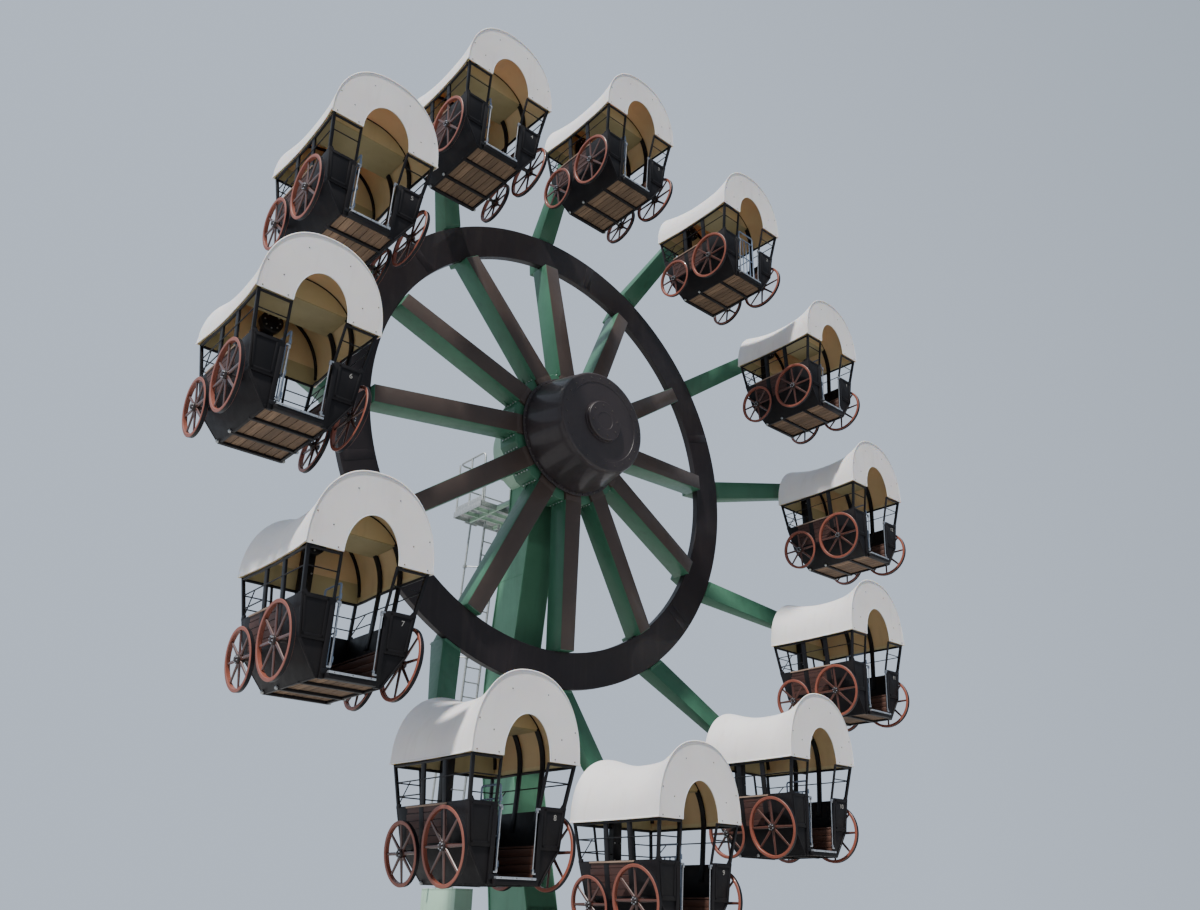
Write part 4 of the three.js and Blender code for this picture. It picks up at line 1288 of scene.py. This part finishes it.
def hub_drum():
    """A drum with one flat for each spoke, and the spokes' brown fronts carried on to the barrel."""
    made = Work(SHADED_SPOKE_GREEN, SPOKE_BROWN)
    flat = DRUM / math.cos(math.pi / WAGONS)
    step = math.pi / WAGONS
    corners = [step + 2 * step * i for i in range(WAGONS)]
    rings = ((-0.392, flat - 0.012), (-0.380, flat), (0.082, flat), (0.10, flat - 0.02))
    made.loft([[(radius * math.cos(a), y, radius * math.sin(a)) for a in corners] for y, radius in rings])
    ends = [end_of(x, -0.452, 0.08, 0.372) for x in (1.06, DRUM + 0.004)]
    for n in range(WAGONS):
        turn = Matrix.Rotation(2 * step * n, 3, "Y")
        made.hexahedron(*[[tuple(turn @ Vector(corner)) for corner in end] for end in ends], 1)
    made.lathe_y([(0.09, 1.06), (0.10, 1.06), (0.135, 1.05), (0.135, 0.60)], 72)
    made.lathe_y([(0.10, 0.48), (0.159, 0.48)], 48)
    made.lathe_y([(0.12, 0.30), (0.50, 0.30)], 48)
    bolts = studs(bolt_circle(36, 0.98, 0.135, 1), ZINC, 0.020, 0.016)
    mesh = joined("hub_drum", [made.mesh("drum", 0.004, 25), bolts])
    mesh.transform(turned(0))
    return mesh


def build_wheel():
    arm, foot = spoke_arm(), foot_plates()
    for n in range(1, WAGONS + 1):
        label = "_%02d" % n
        here = turned(n)
        place("spoke_and_arm" + label, copy_to(arm, here), "wheel", "spoke_arm" + label, slot="tower_green")
        place("spoke_foot_plate" + label, copy_to(foot, here), "wheel")
    place("rim_ring", rim(), "wheel", "wheel_rim", slot="dark_brown")
    place("hub_barrel_shell", hub_barrel(), "wheel", "hub_barrel", slot="dark_brown")
    place("hub_front_cap", hub_cap(), "wheel", "hub_cap", slot="dark_brown")
    place("hub_spoke_drum", hub_drum(), "wheel", "hub_drum", slot="tower_green")


# Tower
COLUMN_FRONT = [(-0.508, 0.2504), (-0.062, 1.930), (0.640, 4.680), (0.674, 5.300), (0.290, 8.140),
                (0.165, 9.050)]
COLUMN_REAR = [(0.655, 0.2504), (0.910, 1.920), (1.300, 3.720), (1.450, 5.090), (1.410, 5.630),
               (1.200, 7.190), (1.000, 8.600), (1.000, 9.050)]
COLUMN_HALF = 0.30
FLANGE_HALF = 0.32
WELDS = (1.93, 3.72, 5.09, 7.19)
RIB_STEP = 0.58
HEAD_REAR = 1.0004
PLATFORM_TOP = AXIS_Z - 0.94
PEDESTAL_TOP = 1.85
LADDER_FOOT = (2.70, PEDESTAL_TOP)
LADDER_TOP = (2.02, PLATFORM_TOP - 0.12)


def eased(points):
    """A line of (y, z) points with its kinks rounded."""
    steps, reach = 5, 0.35
    made = [points[0]]
    for before, here, after in zip(points, points[1:], points[2:]):
        start = between(here, before, min(reach, reach / math.dist(here, before)))
        end = between(here, after, min(reach, reach / math.dist(here, after)))
        for i in range(steps + 1):
            t = i / steps
            made.append(tuple(p * (1 - t) ** 2 + 2 * q * t * (1 - t) + r * t * t
                              for p, q, r in zip(start, here, end)))
    return made + [points[-1]]


def column():
    made = Work(TOWER_GREEN)
    front, rear = eased(COLUMN_FRONT), eased(COLUMN_REAR)
    made.prism_x(front + rear[::-1], -COLUMN_HALF, COLUMN_HALF)
    body = made.mesh("column", angle=30)
    plates = Work(TOWER_GREEN)
    for line, sign in ((front, -1), (rear, 1)):
        for here, there in zip(line, line[1:]):
            if there[1] - here[1] < 0.001:
                continue
            plates.loft([[(x, py, z) for x, py in oblong(-FLANGE_HALF, FLANGE_HALF, y, y - sign * 0.022)]
                         for y, z in (here, there)])
    edges = plates.mesh("flange_plates", angle=30)
    seams = Work(TOWER_GREEN)
    for z in WELDS:
        y0, y1 = at_height(front, z) + 0.03, at_height(rear, z) - 0.03
        seams.block(-COLUMN_HALF - 0.006, COLUMN_HALF + 0.006, y0, y1, z - 0.007, z + 0.007)
    return joined("column", [body, edges, seams.mesh("weld_seams", 0.004)])


def at_height(line, z):
    for (y0, z0), (y1, z1) in zip(line, line[1:]):
        if z0 <= z <= z1:
            return y0 + (y1 - y0) * (z - z0) / max(z1 - z0, 1e-6)
    return line[-1][0]


def column_foot():
    """Foot flange with gussets and anchor bolts."""
    made = Work(TOWER_GREEN)
    top = 0.285
    made.block(-0.385, 0.385, -0.600, 0.760, 0.2502, top)
    for side in (-1, 1):
        outline = [(side * x, z) for x, z in ((0.30, 0.28), (0.378, 0.28), (0.31, 0.48), (0.30, 0.48))]
        for y in (-0.35, 0.07, 0.50):
            made.prism_y(outline, y - 0.01, y + 0.01)
    rows = (-0.55, -0.25, -0.10, 0.2, 0.35, 0.65)
    spots = [((side * 0.35, y, top), (0, 0, 1)) for side in (-1, 1) for y in rows]
    return joined("column_foot", [made.mesh("foot_flange", 0.004), studs(spots, ZINC, 0.024, 0.022)])


def tower_head():
    # The bearing head's lighter green is painted sunlight.
    made = Work(SUNLIT_GREEN, ZINC)
    made.lathe_y([(0.17, 0.60), (0.162, 0.80), (0.18, 0.82), (0.965, 0.82), (0.99, 0.80), (1.0, 0.78),
                  (1.0, 0.40), (1.03, 0.38), (1.035, 0.10)], 72)
    made.lathe_y([(0.36, 0.81), (0.36, 0.90), (0.372, 0.91), (0.398, 0.91), (0.41, 0.90), (0.41, 0.81)], 72)
    bolts = studs(bolt_circle(32, 0.865, 0.41, 1), ZINC, 0.016, 0.012)
    mesh = joined("tower_head", [made.mesh("head", angle=30), bolts])
    mesh.transform(HUB)
    return mesh


def base_beam():
    made = Work(TOWER_GREEN)
    half, front, rear = 0.40, -0.62, 3.26
    made.block(-half, half, front, rear, 0.225, 0.2498)
    made.block(-half, half, front, rear, 0.0, 0.025)
    made.block(-0.37, 0.37, front + 0.02, rear - 0.02, 0.02, 0.23)
    for side in (-1, 1):
        for i in range(7):
            y = -0.45 + i * RIB_STEP
            made.block(*span(side, 0.36, 0.395), y - 0.008, y + 0.008, 0.02, 0.23)
    spots = [((side * 0.385, -0.16 + i * RIB_STEP, 0.025), (0, 0, 1)) for side in (-1, 1) for i in range(6)]
    return joined("base_beam", [made.mesh("base_beam", 0.004), studs(spots, ZINC, 0.012, 0.018)])


def pedestal():
    # The plinth's lighter green is painted sunlight.
    made = Work(SUNLIT_GREEN)
    half, front, rear, foot = 0.185, 2.05, 3.15, 0.2504
    made.block(-half, half, front, rear, foot, PEDESTAL_TOP - 0.02)
    made.block(-half, half, front, rear, PEDESTAL_TOP - 0.035, PEDESTAL_TOP)
    made.block(-0.183, 0.183, front + 0.01, rear - 0.01, foot, 0.28)
    made.block(-0.187, 0.187, 2.62, 2.78, 0.40, 0.41)
    rows = (LADDER_FOOT[0] - 0.10, LADDER_FOOT[0] + 0.10)
    spots = [((x, y, PEDESTAL_TOP), (0, 0, 1)) for x in (-0.17, 0.17) for y in rows]
    return joined("pedestal", [made.mesh("pedestal", 0.006), studs(spots, ZINC, 0.012, 0.012)])


def platform():
    """A grating on a frame of plates and cross beams behind the column's head."""
    # The cross beams' lighter green is painted sunlight.
    made = Work(ZINC, SUNLIT_GREEN)
    x, y0, y1, top = 0.70, 1.43, 2.40, PLATFORM_TOP
    under = top - 0.12
    for side in (-1, 1):
        made.block(*span(side, x, x - 0.012), y0, y1, under, top)
    made.block(-x, x, y0, y0 + 0.012, under, top)
    made.block(-x, x, y1 - 0.012, y1, under, top)
    for middle in (-0.30, 0.30):
        made.block(middle - 0.02, middle + 0.02, HEAD_REAR, y1 - 0.01, under, top - 0.035, 1)
    for y, reach in ((1.02, 0.31), (1.72, x - 0.01), (2.06, x - 0.01)):
        made.block(-reach, reach, y - 0.02, y + 0.02, top - 0.11, top - 0.035, 1)
    made.block(-0.32, 0.32, HEAD_REAR, 1.016, top - 0.118, top)
    slot, low = 0.0316, top - 0.0155
    bars = row(ZINC, 44, (-x + 0.02, (y0 + y1) / 2, low), (slot, 0, 0), (0.004, y1 - y0 - 0.02, 0.03))
    cross = row(ZINC, 19, (0, y0 + 0.03, top - 0.006), (0, 0.0506, 0), (2 * x - 0.03, 0.005, 0.010))
    near = row(ZINC, 20, (-0.30, 1.22, low), (slot, 0, 0), (0.004, 0.41, 0.03))
    return joined("platform", [made.mesh("platform_frame", 0.003), bars, cross, near])


def railing():
    x, y0, y1, side_y = 0.656, 1.452, 2.378, 1.93
    top, mid, foot = PLATFORM_TOP + 1.078, PLATFORM_TOP + 0.56, PLATFORM_TOP + 0.0004
    corners = [(-x, y0), (-x, y1), (x, y1), (x, y0)]
    upper = [(-x, y0, foot)] + [(px, py, top) for px, py in corners] + [(x, y0, foot)]
    posts = [(-x, y1), (0, y1), (x, y1), (-x, side_y), (x, side_y)]
    rails = [
        tube([upper], ZINC, 0.021, 0.12, 12),
        tube([[(px, py, mid) for px, py in corners]], ZINC, 0.017, 0.10),
        tube([[(px, py, foot), (px, py, top - 0.01)] for px, py in posts], ZINC, 0.020),
    ]
    boards = Work(ZINC)
    for side in (-1, 1):
        boards.block(*span(side, x + 0.004, x + 0.010), y0, y1, foot + 0.01, foot + 0.12)
    boards.block(-x, x, y1 + 0.004, y1 + 0.010, foot + 0.01, foot + 0.12)
    for px, py in posts + [corners[0], corners[-1]]:
        boards.block(px - 0.04, px + 0.04, py - 0.021, py + 0.021, foot, foot + 0.008)
    return joined("railing", rails + [boards.mesh("toe_boards", 0.001)])


def ladder():
    """The ladder with a pipe beside it."""
    foot_y, foot_z = LADDER_FOOT
    top_y, top_z = LADDER_TOP
    lean = (top_y - foot_y) / (top_z - foot_z)
    half, rung, back, pipe_x = 0.17, 0.28, 0.17, -0.40
    sides = tube([[(x, foot_y, foot_z), (x, top_y, top_z)] for x in (-half, half)], ZINC, 0.024, 0.0, 12)
    start = (0, foot_y + lean * rung, foot_z + rung)
    rungs = row(ZINC, 24, start, (0, lean * rung, rung), (2 * half, 0.030, 0.022))
    y, z = top_y + back + lean * -0.1, top_z - 0.1
    paths = [[(pipe_x, foot_y + back + lean * 0.2, foot_z + 0.2), (pipe_x, y, z)],
             [(pipe_x - 0.14, y, z), (pipe_x + 0.14, y, z)]]
    pipe = tube(paths, ZINC, 0.021)
    clamps = Work(ZINC)
    arms = []
    for i in range(7):
        z = foot_z + 0.5 + i * 0.9
        y = foot_y + lean * (z - foot_z)
        ends = [(-half, y), (pipe_x, y + back)]
        arms.append([(cx, cy, z) for cx, cy in ends])
        for cx, cy in ends:
            clamps.block(cx - 0.032, cx + 0.032, cy - 0.032, cy + 0.032, z - 0.03, z + 0.03)
    stays = tube(arms, ZINC, 0.013, 0.0, 8)
    return joined("ladder", [sides, rounded(rungs, 0.004, 1), pipe, stays, clamps.mesh("clamps", 0.004)])


def build_tower():
    place("column_body", column(), "tower", "front_column", slot="tower_green")
    place("column_foot_flange", column_foot(), "tower")
    place("bearing_head", tower_head(), "tower", "tower_head", slot="tower_green")
    place("base_box_beam", base_beam(), "tower", "tower_base", slot="tower_green")
    place("ladder_plinth", pedestal(), "tower", "ladder_pedestal", slot="tower_green")
    place("platform_grating", platform(), "tower", "service_platform", slot="galvanized")
    place("platform_rails", railing(), "tower", "platform_railing", slot="galvanized")
    place("ladder_and_pipe", ladder(), "tower", "service_ladder", slot="galvanized")


# Camera, floor and lights
EYE = (-10.531, -13.445, 1.5375)
YAW = math.radians(40.975)
PITCH = math.radians(25.309)
ROLL = math.radians(1.295)
LENS = 28.938
FLOOR_REACH = 60


def set_camera():
    ahead = Vector((math.sin(YAW) * math.cos(PITCH), math.cos(YAW) * math.cos(PITCH), math.sin(PITCH)))
    across = Vector((math.cos(YAW), -math.sin(YAW), 0))
    up = across.cross(ahead)
    right = math.cos(ROLL) * across + math.sin(ROLL) * up
    top = -math.sin(ROLL) * across + math.cos(ROLL) * up
    data = bpy.data.cameras.new("view")
    data.lens = LENS
    data.sensor_width = 36.0
    data.sensor_fit = "HORIZONTAL"
    data.clip_end = 400
    camera = put("view", data)
    turn = Matrix((right, top, -ahead)).transposed().to_4x4()
    camera.matrix_world = Matrix.Translation(EYE) @ turn
    bpy.context.scene.camera = camera


def add_light(name, kind, energy, way, **settings):
    data = bpy.data.lights.new(name, kind)
    data.energy = energy
    for label, value in settings.items():
        setattr(data, label, value)
    put(name, data).rotation_euler = Vector(way).to_track_quat("-Z", "Y").to_euler()


def set_world():
    """Soft studio light, brighter behind the wheel and overhead than in front of it."""
    world = bpy.data.worlds.new("studio")
    world.use_nodes = True
    made = Nodes(world.node_tree)
    backdrop = made.tree.nodes["Background"]
    backdrop.inputs["Color"].default_value = (0.66, 0.76, 0.90, 1.0)
    way = made.node("ShaderNodeTexCoord").outputs["Generated"]
    depth = made.node("ShaderNodeSeparateXYZ", {"Vector": way}).outputs["Y"]
    strength = made.node("ShaderNodeMapRange", {
        "Value": depth, "From Min": -0.6, "From Max": 0.5, "To Min": 0.40, "To Max": 0.86})
    made.feed(backdrop.inputs["Strength"], strength.outputs["Result"])
    bpy.context.scene.world = world


def set_stage():
    finish = Finish("studio_floor", 0.8)
    tone = finish.noise(0.6)
    finish.colour(finish.ramp(tone, [(0.3, (0.36, 0.36, 0.355)), (0.7, (0.39, 0.39, 0.385))]))
    made = Work(finish.material)
    made.block(-FLOOR_REACH, FLOOR_REACH, -FLOOR_REACH, FLOOR_REACH, -0.2, 0.0)
    put("floor", made.mesh("floor"))
    set_world()
    add_light("key", "SUN", 6.0, (0.46, 0.20, -0.865), angle=math.radians(3), color=(1.0, 0.97, 0.92))
    add_light("fill", "SUN", 0.20, (0.35, 0.80, 0.10), angle=math.radians(60), color=(0.95, 0.97, 1.0))


set_camera()
set_stage()
build_wagons()
build_wheel()
build_tower()
